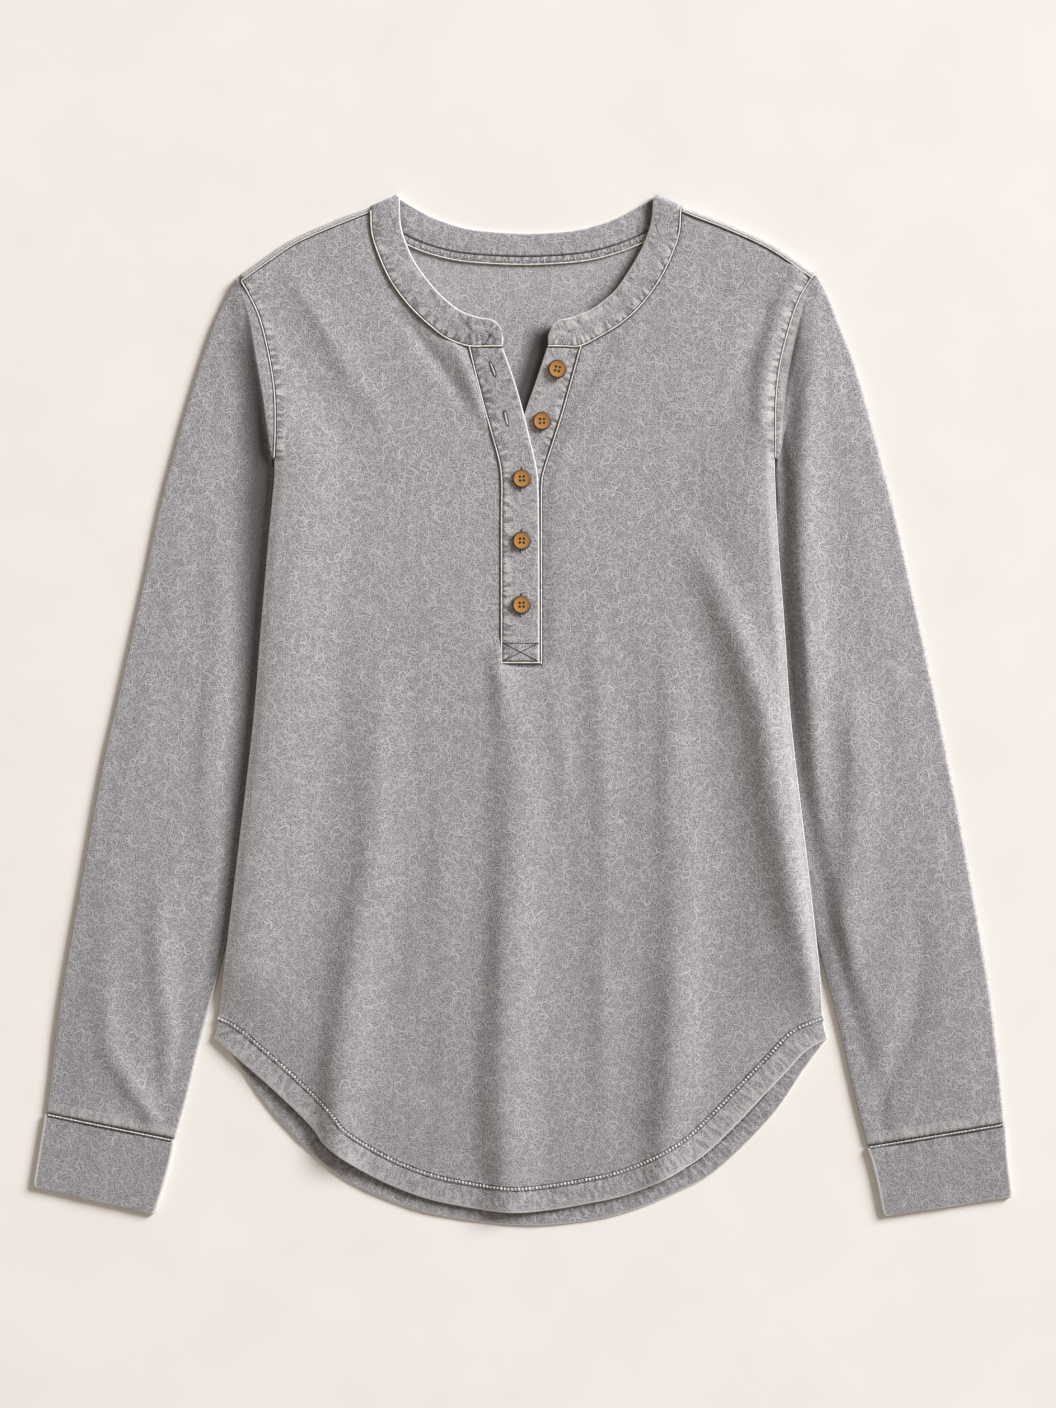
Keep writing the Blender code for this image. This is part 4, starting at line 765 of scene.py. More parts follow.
def sleeve_upper(plan, full, side):
    """Height of the middle of a sleeve's upper wall along a section."""
    from_inner = np.linalg.norm(plan - plan[-1], axis=1)
    from_outer = np.linalg.norm(plan - plan[0], axis=1)
    fall = 1 - SLEEVE_EDGE_FALL[side] * rise(SLEEVE_EDGE, 0, from_outer)
    slack = 0.3 * mottle(plan[:, 0] / 26, plan[:, 1] / 50, 8) + 0.15 * mottle(plan[:, 0] / 9, plan[:, 1] / 30, 9)
    soft = rise(*SLEEVE_RISE[side], from_inner) * np.clip(full * fall + slack, 0, SLEEVE_FULLEST)
    creases = rise(*CREASE_RISE, from_inner) * fold_height(plan[:, 0], plan[:, 1], SLEEVE_FOLDS[side])
    return np.maximum(SLEEVE_FLAT + soft + creases * rise(0, 6, from_outer), LOWEST_SLEEVE)


for side, title in ((-1, "left"), (1, "right")):
    armhole = seams[side]["armhole"]
    inset = ROLL_RADIUS + JERSEY / 2
    share = np.linspace(0, 1, SLEEVE_STEPS[0])
    seam_line = at(armhole, (reach(armhole)[-1] - inset) * (1 - share))
    front_height = front_middle(seam_line[:, 0], seam_line[:, 1])
    roll_height = rise(0.14, 0, share)
    front_height += roll_height * (JERSEY / 2 + 2 * ROLL_RADIUS - front_height)
    back_lift = back_middle(seam_line[:, 0], seam_line[:, 1]) - JERSEY / 2
    bow = np.sin(math.pi * share) ** CAP_BOW
    ease = 2 * CORNER_EASE * rise(0.1, 0, share)
    sections = rows_of(SLEEVES[side], np.linspace(0, 1, SLEEVE_STEPS[1]))
    first = sections[0]
    first_plan = first[:2] + (first[2:4] - first[:2]) * share[:, None]
    level = sleeve_upper(first_plan, first[4], side)
    drop = rise(0, CAP_DROP_RUN, share)
    rings, folds = [], []
    strip = CAP_FOLD[side]
    for out in strip * np.array(STRIP_RINGS):
        k = min(out / strip, 1) + max(out - strip, 0) / CAP_DROP
        fallen = 0.1 * min(out / strip, 1) + 0.9 * float(rise(strip - 0.6, strip + 0.8 * CAP_DROP, out))
        plan = sideways(seam_line, side * (SEAM_GAP + k + ease + out * bow))
        lift = back_lift * np.interp(k, (0, 1, 2), (1, 0.75, 0.3))
        lower = JERSEY / 2 + lift
        upper = front_height + (level + lift - front_height) * fallen * drop
        rings.append(tube_ring(plan, np.maximum(upper, lower + JERSEY + LAYER_GAP), lower))
        folds.append(np.where(bow > 0.25, 0.6 + 1.3 * abs(out - strip + 0.1), 9))
    last_plan = plan
    for step in (0.2, 0.4, 0.6, 0.8):
        plan = last_plan + (first_plan - last_plan) * step
        lift = back_lift * (0.3 - 0.15 * step)
        plan = inset_ends(plan, level + lift, JERSEY / 2 + lift, JERSEY, step)
        blend = front_height + (level + lift - front_height) * np.maximum(drop, step)
        rings.append(tube_ring(plan, np.maximum(blend, 2.1 + lift), JERSEY / 2 + lift))
        folds.append(np.full(len(share), 9.0))
    for place, section in zip(np.linspace(0, 1, len(sections)), sections):
        lift = back_lift * np.interp(place, (0, 0.048, 0.108), (0.15, 0.05, 0))
        plan = section[:2] + (section[2:4] - section[:2]) * share[:, None]
        width = np.linalg.norm(section[2:4] - section[:2])
        upper = sleeve_upper(plan, section[4], side) + lift
        plan = inset_ends(plan, upper, JERSEY / 2 + lift, JERSEY)
        rings.append(tube_ring(plan, upper, JERSEY / 2 + lift))
        folds.append(0.85 + np.minimum(share, 1 - share) * width)
    grid = np.array(rings)
    fold = round_the_ring(np.array(folds), 0.85)
    cuff_end = rows_of(SLEEVES[side], [1])[0]
    near_cuff = from_line(grid, (cuff_end[:2], cuff_end[2:4]))[0]
    near_armhole = from_line(grid, armhole)[0]
    drawn_up = np.maximum(0.3 * bell(near_armhole / 6, 4), 0.2 * bell(near_cuff / 8, 4))
    wear_and_painted_light = 0.4 * rise(7.5, 5, near_cuff) + 0.5 * bell((near_cuff - 7.2) / 0.8)
    body_edge = spline(np.array(BODY_SIDES)[:, [1 if side < 0 else 2, 0]])
    strip_edge = sideways(armhole, -side * strip * np.sin(math.pi * reach(armhole) / reach(armhole)[-1]) ** CAP_BOW)
    near_body = np.minimum(from_line(grid, body_edge)[0], from_line(grid, strip_edge)[0])
    below = np.arange(len(grid))[:, None] > 7
    heights, widths, strengths = np.array(COVER_SHADE[side]).T
    painted_shade = np.interp(grid[..., 1], heights, strengths) * (1 - 0.4 * bell(near_body / 3.5))
    painted_shade *= rise(13, -9, near_body - np.interp(grid[..., 1], heights, widths))
    # painted shade on the sleeve below its armhole strip; on the right sleeve the strip, which faces the lamp, gets
    # painted light
    wear_and_painted_light = np.where(below, wear_and_painted_light - painted_shade, wear_and_painted_light + 0.35 * (side > 0))
    if side < 0:
        grid, fold, wear_and_painted_light, drawn_up = grid[::-1], fold[::-1], wear_and_painted_light[::-1], drawn_up[::-1]
    sleeve = lay_cloth(f"{title}_sleeve", grid, JERSEY, ring=True, wear_and_painted_light=wear_and_painted_light, pucker=drawn_up, fold=fold)
    dress(sleeve, f"sleeve_{title}")

# ---------------------------------------------------------------- Cuffs
# Each cuff is a straight band of the jersey, folded double and sewn into a ring, then sewn on to
# the sleeve's end. It lies flat, and its fold at the open end is worn pale.

DOUBLED = 2  # wall of cloth that is folded double
CUFF_WALL, CUFF_INNER_GAP, CUFF_CORNER = 1.6, 0.3, 3
CUFF_WIDTH, CUFF_DEPTH = 88, 48
CUFF_STEPS = (44, 30)  # cells across, and down
CUFFS = {  # outer x, outer y, inner x, inner y
    -1: ((-319, -270.6, -233.2, -288.2), (-322.6, -292, -238, -309.5), (-327.2, -319.4, -246.6, -337.6)),
    1: ((322.9, -277.4, 231.2, -292.8), (324.6, -301.5, 236.2, -309.5), (327.6, -326, 242.2, -339)),
}
for side, title in ((-1, "left"), (1, "right")):
    share = places(CUFF_WIDTH, CUFF_STEPS[0]) / CUFF_WIDTH
    depths = places(CUFF_DEPTH, CUFF_STEPS[1])
    rings, folds = [], []
    for down, section in zip(depths, rows_of(CUFFS[side], depths / CUFF_DEPTH)):
        width = np.linalg.norm(section[2:4] - section[:2])
        corner = CUFF_CORNER * (1 - math.sqrt(1 - max(0, 1 - (CUFF_DEPTH - down) / CUFF_CORNER) ** 2)) / width
        plan = section[:2] + (section[2:4] - section[:2]) * (corner + (1 - 2 * corner) * share)[:, None]
        swell = 0.35 * mottle(plan[:, 0] / 14, plan[:, 1] / 18, 51 + side) * np.sin(math.pi * share) ** 0.5
        lower = CUFF_WALL / 2
        upper = lower + CUFF_WALL + CUFF_INNER_GAP + swell
        plan = inset_ends(plan, upper, np.full(len(plan), lower), CUFF_WALL)
        rings.append(tube_ring(plan, upper, np.full(len(plan), lower)))
        folds.append(0.4 + 0.8 * np.minimum(share, 1 - share) * width)
    grid = np.array(rings)
    outer, inner = CUFFS[side][0][:2], CUFFS[side][0][2:]
    drawn_up = 0.25 * bell(from_line(grid, (outer, inner))[0] / 8, 4)
    fold = round_the_ring(np.array(folds), 0.5)
    free = np.zeros(grid.shape[:2])
    free[-1] = 1
    if side < 0:
        grid, fold, drawn_up, free = grid[::-1], fold[::-1], drawn_up[::-1], free[::-1]
    cuff = lay_cloth(f"{title}_cuff", grid, CUFF_WALL, free, ring=True, wear_and_painted_light=-0.2, pucker=drawn_up, fold=fold)
    dress(cuff, f"cuff_{title}")

# ---------------------------------------------------------------- Neckband and neck tape
# The neckband is one strip of the jersey, folded double, sewn on round the neck with its two
# front ends rounded. A narrow tape covers its seam inside the back of the neck.

BAND_TOP_Z = 5
BAND_ROLL_RADIUS = 2
TAPE = 1
TAPE_WIDTH, TAPE_INSET, TAPE_ENDS = 5.4, 0.6, 12
BAND_WIDTH, BAND_STEPS = 20, (130, 24)  # cells along each half and along the back, and across
BAND_ENDS = {  # the same as BANDS, from the placket to the rounded end
    -1: ((-22, 243.4, -20.6, 261.2, 4.9), (-15.6, 243.4, -14.8, 256, 4.9), (-12.9, 243.4, -12.9, 247.6, 4.9)),
    1: ((27.7, 243.4, 25.8, 261.2, 4.7), (20.8, 243.4, 20, 257.2, 4.7), (17.1, 243.4, 17.1, 249, 4.7)),
}
BAND_CREASES = (  # x, y of the two ends, half width, depth (or height, below 0) of the creases by the buttonhole
    (-38.6, 259, -33.8, 253, 1, 0.8), (-35.4, 251, -35.9, 244.6, 0.9, 0.8), (-30.8, 250.4, -31.4, 244.6, 0.9, 0.7),
    (-27.5, 250, -27.5, 244.6, 0.8, 0.7), (-21, 250.2, -25.6, 243.8, 0.9, 0.8),
    (-24.9, 253.8, -21.4, 250.3, 0.8, 0.9), (-33.2, 250, -33.6, 244.8, 1, -0.7),
    (-29.2, 250, -29.5, 244.8, 0.9, -0.7), (-24.6, 250.2, -26.3, 245.6, 1.1, -0.7),
    (-33, 255.2, -25, 254.6, 1.6, -0.6), (29, 250.6, 34, 254, 1.4, 0.5), (24, 252.8, 30, 250.4, 1.4, -0.5),
)


def band_fold(section):
    """The sections of the half turn at a shoulder, from the upper level to the lower."""
    out = fold_out(section)
    rows = []
    for angle in np.linspace(0, math.pi, 12)[1:-1]:
        shift = out * BAND_ROLL_RADIUS * math.sin(angle)
        height = BAND_TOP_Z - BAND_ROLL_RADIUS * (1 - math.cos(angle))
        rows.append(np.concatenate([section[:2] + shift, section[2:4] + shift, [height]]))
    return rows


fronts = {}
for side in (-1, 1):
    dense = spline(np.vstack([BANDS[side], BAND_ENDS[side]]))
    length = reach(dense)[-1]
    fronts[side] = at(dense, places(length, BAND_STEPS[0], start=False))
middle_sections = at(band_back, np.linspace(0, band_back_run, BAND_STEPS[0]))
sections = np.vstack([fronts[-1][::-1], band_fold(fronts[-1][0]), middle_sections,
                      band_fold(fronts[1][0])[::-1], fronts[1]])
across = (places(BAND_WIDTH, BAND_STEPS[1]) / BAND_WIDTH)[None, :, None]
plan = sections[:, None, :2] * (1 - across) + sections[:, None, 2:4] * across
crown = 0.3 * (1 - (2 * across[..., 0] - 1) ** 2)
seam_edge, free_edge = sections[:, :2], sections[:, 2:4]
along = reach(seam_edge)[:, None]
wide = np.linalg.norm(free_edge - seam_edge, axis=1)[:, None]
from_seam, from_free = across[..., 0] * wide, (1 - across[..., 0]) * wide
drawn_up = 0.7 * bell(from_seam / 6.5, 4) + 0.6 * bell(from_free / 6.5, 4)
at_back = sections[:, 4:5] < 3
drawn_up *= np.where(at_back, 0.4, 1)
# painted shadow on the band's back part, beside the free edges of its front ends
shaded = at_back * (1.2 * bell(from_line(plan, NECK_SHADE)[0] / 7)
                    + 0.6 * bell(from_line(plan, fronts[-1][:50, 2:4])[0] / 5))
# The creases by the buttonhole are shaped and also painted: painted shade in their troughs, painted light on their
# ridges.
creased = np.zeros(plan.shape[:2])
for x0, y0, x1, y1, width, depth in BAND_CREASES:
    near = from_line(plan, ((x0, y0), (x1, y1)))[0]
    creased += depth * bell(near / width)
height = sections[:, 4:5] + crown - 0.5 * creased + 0.25 * mottle(along / 6 + 0 * from_seam, from_seam / 9, 71)
free = np.zeros(plan.shape[:2])
free[:, -1] = free[0] = free[-1] = 1
# The band's front ends are drawn lighter on the right and darker on the left.
darker_left_lighter_right = 0.3 * np.sign(plan[..., 0]) * rise(70, 45, np.abs(plan[..., 0])) * ~at_back
neckband = lay_cloth("neck_band", with_height(plan, height), DOUBLED, free, wear_and_painted_light=darker_left_lighter_right - creased - shaded,
                     pucker=drawn_up)
tape_seam = neck_line(middle_sections, -1)
tape_line = at(tape_seam, np.linspace(TAPE_ENDS, reach(tape_seam)[-1] - TAPE_ENDS, 120))
tape_rows = [sideways(tape_line, -TAPE_INSET - TAPE_WIDTH * share)
             for share in (1, 0.94, 0.85, 0.68, 0.5, 0.32, 0.15, 0.06, 0)]
neck_tape = lay_cloth("neck_tape_strip", with_height(np.array(tape_rows), JERSEY + LAYER_GAP + TAPE / 2), TAPE, 0.5,
                      pucker=0.6)
dress(neckband, "neckband")
dress(neck_tape, "neck_tape")

# ---------------------------------------------------------------- Plackets
# Two strips of the jersey, each folded double and sewn to one side of the slit. The one on the
# viewer's left lies on top and has the buttonholes, the other carries the buttons.

OVER_Z, UNDER_Z, UNDER_RISE = 4.8, 2.5, 2.1
PLACKET_LENGTH, PLACKET_WIDTH = 213, 25
PLACKET_STEPS = (150, 22)  # cells along, and across


def under_height(y):
    """Height of the middle of the lower placket, which rises to the neckband."""
    return UNDER_Z + UNDER_RISE * rise(*UNDER_RISE_Y, y)


for side, name, solid in ((-1, "top_placket", "placket_over"), (1, "lower_placket", "placket_under")):
    rows = rows_of(PLACKETS[side], places(PLACKET_LENGTH, PLACKET_STEPS[0])[::-1] / PLACKET_LENGTH)
    across = places(PLACKET_WIDTH, PLACKET_STEPS[1])[None] / PLACKET_WIDTH
    x = rows[:, :1] * (1 - across) + rows[:, 1:2] * across
    y = np.repeat(rows[:, 2:3], across.shape[1], axis=1)
    from_left, from_right = x - rows[:, :1], rows[:, 1:2] - x
    from_seam, from_free = (from_left, from_right) if side < 0 else (from_right, from_left)
    drawn_up = 0.7 * bell(from_seam / 7, 4) + 0.5 * bell(from_free / 6.5, 4)
    free = np.zeros(x.shape)
    free[1:, -1 if side < 0 else 0] = 1
    height = OVER_Z if side < 0 else under_height(y)
    grid = np.stack([x, y, height + 0.2 * mottle(x / 7, y / 10, 83)], axis=-1)
    # The top placket is drawn darker, and the lower one lighter, towards the neckband.
    piece = lay_cloth(name, grid, DOUBLED, free, wear_and_painted_light=0.3 * side * rise(185, 215, y), pucker=drawn_up)
    dress(piece, solid)

# ---------------------------------------------------------------- Seams and hems
# Cotton and polyester sewing thread. A raised cord of cloth and thread runs along every seam beside
# sunk rows of stitches, and a ladder of short stitches between two rows holds each hem.

threads = []
for title, low, high in (("washed_sewing_thread", "#cfcac6", "#f4f0ec"), ("faded_hem_thread", "#989391", "#d3cfcc"),
                         ("sunk_sewing_thread", "#262322", "#474342")):
    thread, shader, add = new_material(title, 0.88)
    fuzz = add("TexNoise", {"Vector": add("TexCoord").outputs["Object"], "Scale": 900, "Detail": 2})  # 1 mm
    colour = add("Mix", {0: add("MapRange", fuzz, 0.3, 0.7), 6: linear(low), 7: linear(high)}, data_type="RGBA")
    add(shader, {"Base Color": colour, "Normal": add("Bump", {"Height": fuzz, "Distance": 0.0002, "Strength": 0.5})})
    threads.append(thread)
pale_thread, faded_thread, dark_thread = threads

stitch_row = bpy.data.node_groups.new("row_of_stitches", "GeometryNodeTree")
seam_cord = bpy.data.node_groups.new("cord_along_a_seam", "GeometryNodeTree")
for tree in (stitch_row, seam_cord):
    tree.interface.new_socket("Line", in_out="INPUT", socket_type="NodeSocketGeometry")
    for title, kind in (("Pitch", "Float"), ("Length", "Float"), ("Width", "Float"), ("Height", "Float"),
                        ("Unevenness", "Float"), ("Seed", "Int"), ("Thread", "Material")):
        tree.interface.new_socket(title, in_out="INPUT", socket_type=f"NodeSocket{kind}")
    tree.interface.new_socket("Sewing", in_out="OUTPUT", socket_type="NodeSocketGeometry")
    add = partial(node, tree)
    given = add("NodeGroupInput").outputs
    path = add("GeometryNodeMeshToCurve", given["Line"])
    least, most = (add("Math", 1, given["Unevenness"], operation=way) for way in ("SUBTRACT", "ADD"))
    if tree == stitch_row:
        dots = add("GeometryNodeCurveToPoints", {"Curve": path, "Length": given["Pitch"]}, mode="LENGTH")
        turn = add("FunctionNodeAlignRotationToVector", {"Vector": dots.outputs["Tangent"]}, axis="X", pivot_axis="Z")
        bead = add("GeometryNodeMeshUVSphere", {"Segments": 6, "Rings": 4, "Radius": 0.5})
        chance = add("FunctionNodeRandomValue", {"Seed": given["Seed"]}, data_type="FLOAT_VECTOR")
        spread = add("MapRange", {"Vector": chance, 9: least, 10: most}, data_type="FLOAT_VECTOR")
        size = add("CombineXYZ", given["Length"], given["Width"], given["Height"])
        scale = add("VectorMath", size, spread, operation="MULTIPLY")
        made = add("GeometryNodeInstanceOnPoints", {"Points": dots, "Instance": bead, "Rotation": turn,
                                                    "Scale": scale})
    else:
        even = add("GeometryNodeResampleCurve", {"Curve": path, "Length": given["Pitch"]}, mode="LENGTH")
        level = add("GeometryNodeSetCurveNormal", {"Curve": even}, mode="Z_UP")
        around = add("GeometryNodeCurvePrimitiveCircle", {"Resolution": 8, "Radius": 0.5})
        size = add("CombineXYZ", given["Width"], given["Height"], 1)
        oval = add("GeometryNodeTransform", {"Geometry": around, "Scale": size})
        swell = add("FunctionNodeRandomValue", {2: least, 3: most, "Seed": given["Seed"]}, data_type="FLOAT")
        made = add("GeometryNodeCurveToMesh", {"Curve": level, "Profile Curve": oval, "Scale": swell,
                                               "Fill Caps": True})
    soft = add("GeometryNodeSetShadeSmooth", add("GeometryNodeRealizeInstances", made))
    add("NodeGroupOutput", add("GeometryNodeSetMaterial", {"Geometry": soft, "Material": given["Thread"]}))


def sew(name, lines, thread, pitch, width, height, uneven, length=0):
    """Stitches of a length, or with no length a cord, along lines in mm, as a plain mesh on the shirt."""
    points, edges = [], []
    for line in lines:
        edges += [(len(points) + k, len(points) + k + 1) for k in range(len(line) - 1)]
        points += (np.asarray(line) * MM).tolist()
    mesh = bpy.data.meshes.new(name)
    mesh.from_pydata(points, edges, [])
    guide = new_object(f"{name}_guide", mesh)
    sewing = guide.modifiers.new("stitches", "NODES")
    sewing.node_group = stitch_row if length else seam_cord
    values = {"Pitch": pitch * MM, "Length": length * MM, "Width": width * MM, "Height": height * MM,
              "Unevenness": uneven, "Seed": len(name), "Thread": thread}
    for item in sewing.node_group.interface.items_tree:
        if item.in_out == "INPUT" and item.name in values:
            sewing[item.identifier] = values[item.name]
    made = bpy.data.meshes.new_from_object(guide.evaluated_get(bpy.context.evaluated_depsgraph_get()))
    bpy.data.objects.remove(guide)
    made.name = name
    piece = new_object(name, made)
    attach(piece, "root")


def moved(line, heights, off, lift):
    """A line with its heights, moved this far to its left and raised this far."""
    aside = sideways(line, off) if off else line[:, :2]
    return with_height(aside, heights + lift)


def on_front(line, lift, off=0):
    """A line laid on the front, this far above its face and this far to the line's left."""
    aside = moved(line, np.zeros(len(line)), off, 0)
    return with_height(aside[:, :2], front_middle(aside[:, 0], aside[:, 1]) + JERSEY / 2 + lift)


BAND_CORD_RISE, UNDER_CORD_RISE = 0.75, 1.05  # of a seam's cord above the middle of the doubled cloth
# line, its heights, way of the body's side
seam_runs = {"armhole": [], "shoulder": [], "neck": [], "placket": []}
for side in (-1, 1):
    armhole = seams[side]["armhole"]
    armhole = at(armhole, np.linspace(0, reach(armhole)[-1] - 4.5, 60))
    seam_runs["armhole"].append((armhole, on_front(armhole, 0)[:, 2], side))
    shoulder = seams[side]["shoulder"]
    seam_runs["shoulder"].append((shoulder, JERSEY + 2 * ROLL_RADIUS, side))
    seam_runs["neck"].append((fronts[side], fronts[side][:, 4] + BAND_CORD_RISE, side))
    slit = seams[side]["slit"]
    height = OVER_Z + BAND_CORD_RISE if side < 0 else under_height(slit[:, 1]) + UNDER_CORD_RISE
    seam_runs["placket"].append((slit, height, side))
for name, cord_off, cord_wide, rows in (  # rows: offset towards the body's side, and width
    ("armhole", -0.3, 0.85, ((0.7, 0.5),)), ("shoulder", -0.3, 0.95, ((0.6, 0.38), (-1.05, 0.15))),
    ("neck", 0, 1.05, ((0.9, 0.5), (-0.85, 0.34))), ("placket", 0, 0.95, ((0.82, 0.42), (-0.82, 0.38))),
):
    sew(f"{name}_seam_cord", [moved(line, z, way * cord_off, 0.1) for line, z, way in seam_runs[name]],
        pale_thread, pitch=1.7, width=cord_wide, height=0.8, uneven=0.13)
    for off, wide in rows:  # the row beside the right armhole is hidden in the cloth that stands up there
        sew(f"{name}_seam_row_{'body' if off > 0 else 'far'}",
            [moved(line, z, way * off, 0.1) for line, z, way in seam_runs[name] if name != "armhole" or way < 0],
            dark_thread, pitch=1.6, width=wide, height=0.5, uneven=0.2)

HEM_SEAM_ENDS = ((-203.4, -206.2), (-196.5, -208.8)), ((193.5, -208.8), (201, -206.2))  # x, y
hem_rung = sideways(hem_front, HEM_DEPTH + 0.6)
hem_rung = at(hem_rung, np.linspace(0, reach(hem_rung)[-1], 300))
hem_rung = np.vstack([HEM_SEAM_ENDS[0], hem_rung[(hem_rung[:, 0] > -188) & (hem_rung[:, 0] < 184)], HEM_SEAM_ENDS[1]])
hem_rung = at(hem_rung, np.linspace(0, reach(hem_rung)[-1], 300))
sew("front_hem_ladder", [on_front(hem_rung, 0.62)], pale_thread, pitch=2.4, length=1.2, width=1.8, height=0.3,
    uneven=0.5)
sew("front_hem_rows", [on_front(hem_rung, 0.6 - 0.2 * way, way * 1.35) for way in (-1, 1)], dark_thread, pitch=1.7,
    width=0.34, height=0.4, uneven=0.35)
back_row = sideways(hem_back, 12.4)
back_row = back_row[inside_side(back_row[:, 0], back_row[:, 1]) > 1.5]
sew("back_hem_row", [with_height(back_row, 1.85)], dark_thread, pitch=2.3, length=1.5, width=0.8, height=0.5,
    uneven=0.25)
for side, title in ((-1, "left"), (1, "right")):
    start, end = np.reshape(CUFFS[side][0], (2, 2))
    line = start + (end - start) * np.linspace(0.02, 0.98, 60)[:, None]
    height = (sleeve_upper(line, 0.9, side) + CUFF_WALL * 1.5 + CUFF_INNER_GAP) / 2 + 0.35
    sew(f"{title}_cuff_cord", [moved(line, height, 0, 0.4)], pale_thread, pitch=1.7, width=0.9, height=0.8,
        uneven=0.12)
    sew(f"{title}_cuff_stitches", [moved(line, height, 0, 0.6)], faded_thread, pitch=2.5, length=1.5, width=1.3,
        height=0.8, uneven=0.35)
    sew(f"{title}_cuff_rows", [moved(line, height, way, 0.5) for way in (-1.1, 1.15)], dark_thread, pitch=1.6,
        width=0.5, height=0.55, uneven=0.25)

# The tape inside the back of the neck is sewn along its middle with short cross stitches, and a
# cord of its edge stands up beside a sunk row.
tape_middle = sideways(tape_line, -TAPE_INSET - 0.45 * TAPE_WIDTH)
tape_low = sideways(tape_line, -TAPE_INSET - TAPE_WIDTH)
tape_top = JERSEY + LAYER_GAP + TAPE
sew("neck_tape_stitches", [with_height(tape_middle, tape_top + 0.05)], faded_thread, pitch=2.3, length=0.8, width=1.8,
    height=0.3, uneven=0.45)
sew("neck_tape_edge", [with_height(sideways(tape_low, 0.6), tape_top)], pale_thread, pitch=1.7, width=0.8, height=0.6,
    uneven=0.12)
sew("neck_tape_rows", [with_height(sideways(tape_low, 1.5), tape_top - 0.1)], dark_thread, pitch=1.6, width=0.28,
    height=0.5, uneven=0.2)

# The foot of the top placket is sewn down with a box of stitches that is crossed corner to corner.
BOX = (-12.6, 10.4, 32.8, 44.6)  # left x, right x, low y, high y
low_left, low_right = (BOX[0], BOX[2]), (BOX[1], BOX[2])
high_left, high_right = (BOX[0], BOX[3]), (BOX[1], BOX[3])
box_lines = [with_height(np.linspace(a, b, 12), OVER_Z + 1.1) for a, b in (
    (low_left, low_right), (low_left, high_right), (high_left, low_right), ((-14.6, 30.4), (13.2, 30.4)))]
sew("placket_box", box_lines, dark_thread, pitch=1.5, width=0.55, height=0.5, uneven=0.25)
sew("placket_box_top", [with_height(np.linspace(high_left, high_right, 12), OVER_Z + 1.1)], dark_thread, pitch=1.6,
    length=1.5, width=0.85, height=0.5, uneven=0.2)
foot = np.linspace((-14, 31.6), (12.4, 31.6), 12)
sew("placket_foot_cord", [with_height(foot, OVER_Z + 0.9)], pale_thread, pitch=1.7, width=0.95, height=0.8,
    uneven=0.12)

# ---------------------------------------------------------------- Buttonholes
# Slits in the top placket and the left end of the neckband, worked round with close stitches. A
# bar of thread is left in the right end, where the top button of the band came off.

BUTTONHOLES = (  # x, y of the two ends, half width, height of the cloth
    (-35, 252, -21.5, 250, 0.6, 6.05), (-21.8, 233.2, -17.8, 222.4, 1.05, 5.95),
    (-12.1, 200.3, -9.7, 189.6, 1.05, 5.95),
)
outlines, middles = [], []
for x0, y0, x1, y1, half, z in BUTTONHOLES:
    a, b = np.array([x0, y0]), np.array([x1, y1])
    run = unit(b - a)
    aside = np.array([-run[1], run[0]])
    angle = np.linspace(0, 2 * math.pi, 40)[:, None]
    around = (a + b) / 2 + run * (np.linalg.norm(b - a) / 2) * np.cos(angle) + aside * half * np.sin(angle)
    outlines.append(with_height(around, z))
    middles.append(with_height(np.linspace(a + run * 1.5, b - run * 1.5, 8), z - 0.05))
sew("buttonhole_edges", outlines, dark_thread, pitch=0.9, width=0.5, height=0.35, uneven=0.2)
sew("buttonhole_stitches", middles, pale_thread, pitch=0.9, width=0.85, height=0.25, uneven=0.1)
left_over = [np.linspace((25.6, 249.6), (28, 249.4), 4), np.linspace((25.6, 249.6), (26.9, 246.9), 4),
             np.linspace((28, 249.4), (26.9, 246.9), 4), np.linspace((30.4, 252.6), (32.2, 254), 4)]
sew("band_thread_bar", [with_height(line, 5.75) for line in left_over], dark_thread, pitch=0.8, width=0.45,
    height=0.4, uneven=0.2)
sew("band_thread_knot", [with_height(np.linspace((26.5, 248.9), (27.1, 247.9), 3), 5.8)], pale_thread, pitch=0.8,
    width=0.9, height=0.4, uneven=0.1)

# ---------------------------------------------------------------- Buttons
# Five turned wooden buttons with a flat dished face, a low rounded rim and four holes, lacquered
# to a satin finish, and sewn on through the holes. A little thread shows at the edges.

BUTTONS = (  # x, y, height of its top, turn in degrees
    (23.4, 227.9, 7.8, -14), (13.1, 193.2, 6.4, 0), (-0.4, 154.6, 8.1, 4), (-0.4, 113.1, 8.1, -3),
    (-0.6, 70.3, 8.1, 2),
)
BUTTON_PROFILE = (  # radius, depth below the top, from the face round to the back
    (4.7, 0.2), (5, 0.08), (5.4, 0.02), (5.8, 0.15), (6.1, 0.45), (6.25, 0.9), (6.15, 1.5), (5.9, 1.8), (5.4, 2),
    (4.7, 2.05),
)
HOLE_RADIUS, HOLE_OUT = 0.85, 1.85
RIM_CORNERS, HOLE_CORNERS = 40, 12
button_wood, shader, add = new_material("lacquered_olive_wood", 0.5)
stretch = add("Mapping", {"Vector": add("UVMap", uv_map="grain"), "Scale": (5, 1, 1)})
grain = add("TexNoise", {"Vector": stretch, "Scale": 0.3, "Detail": 4})  # lines 0.7 mm apart
colour = add("Mix", {0: add("MapRange", grain, 0.3, 0.7), 6: linear("#a2733b"), 7: linear("#be8a4e")},
             data_type="RGBA")
from_centre = add("Attribute", attribute_name="radius").outputs["Fac"]
ring_far = add("Math", add("Math", from_centre, 4.85, operation="SUBTRACT"), operation="ABSOLUTE")
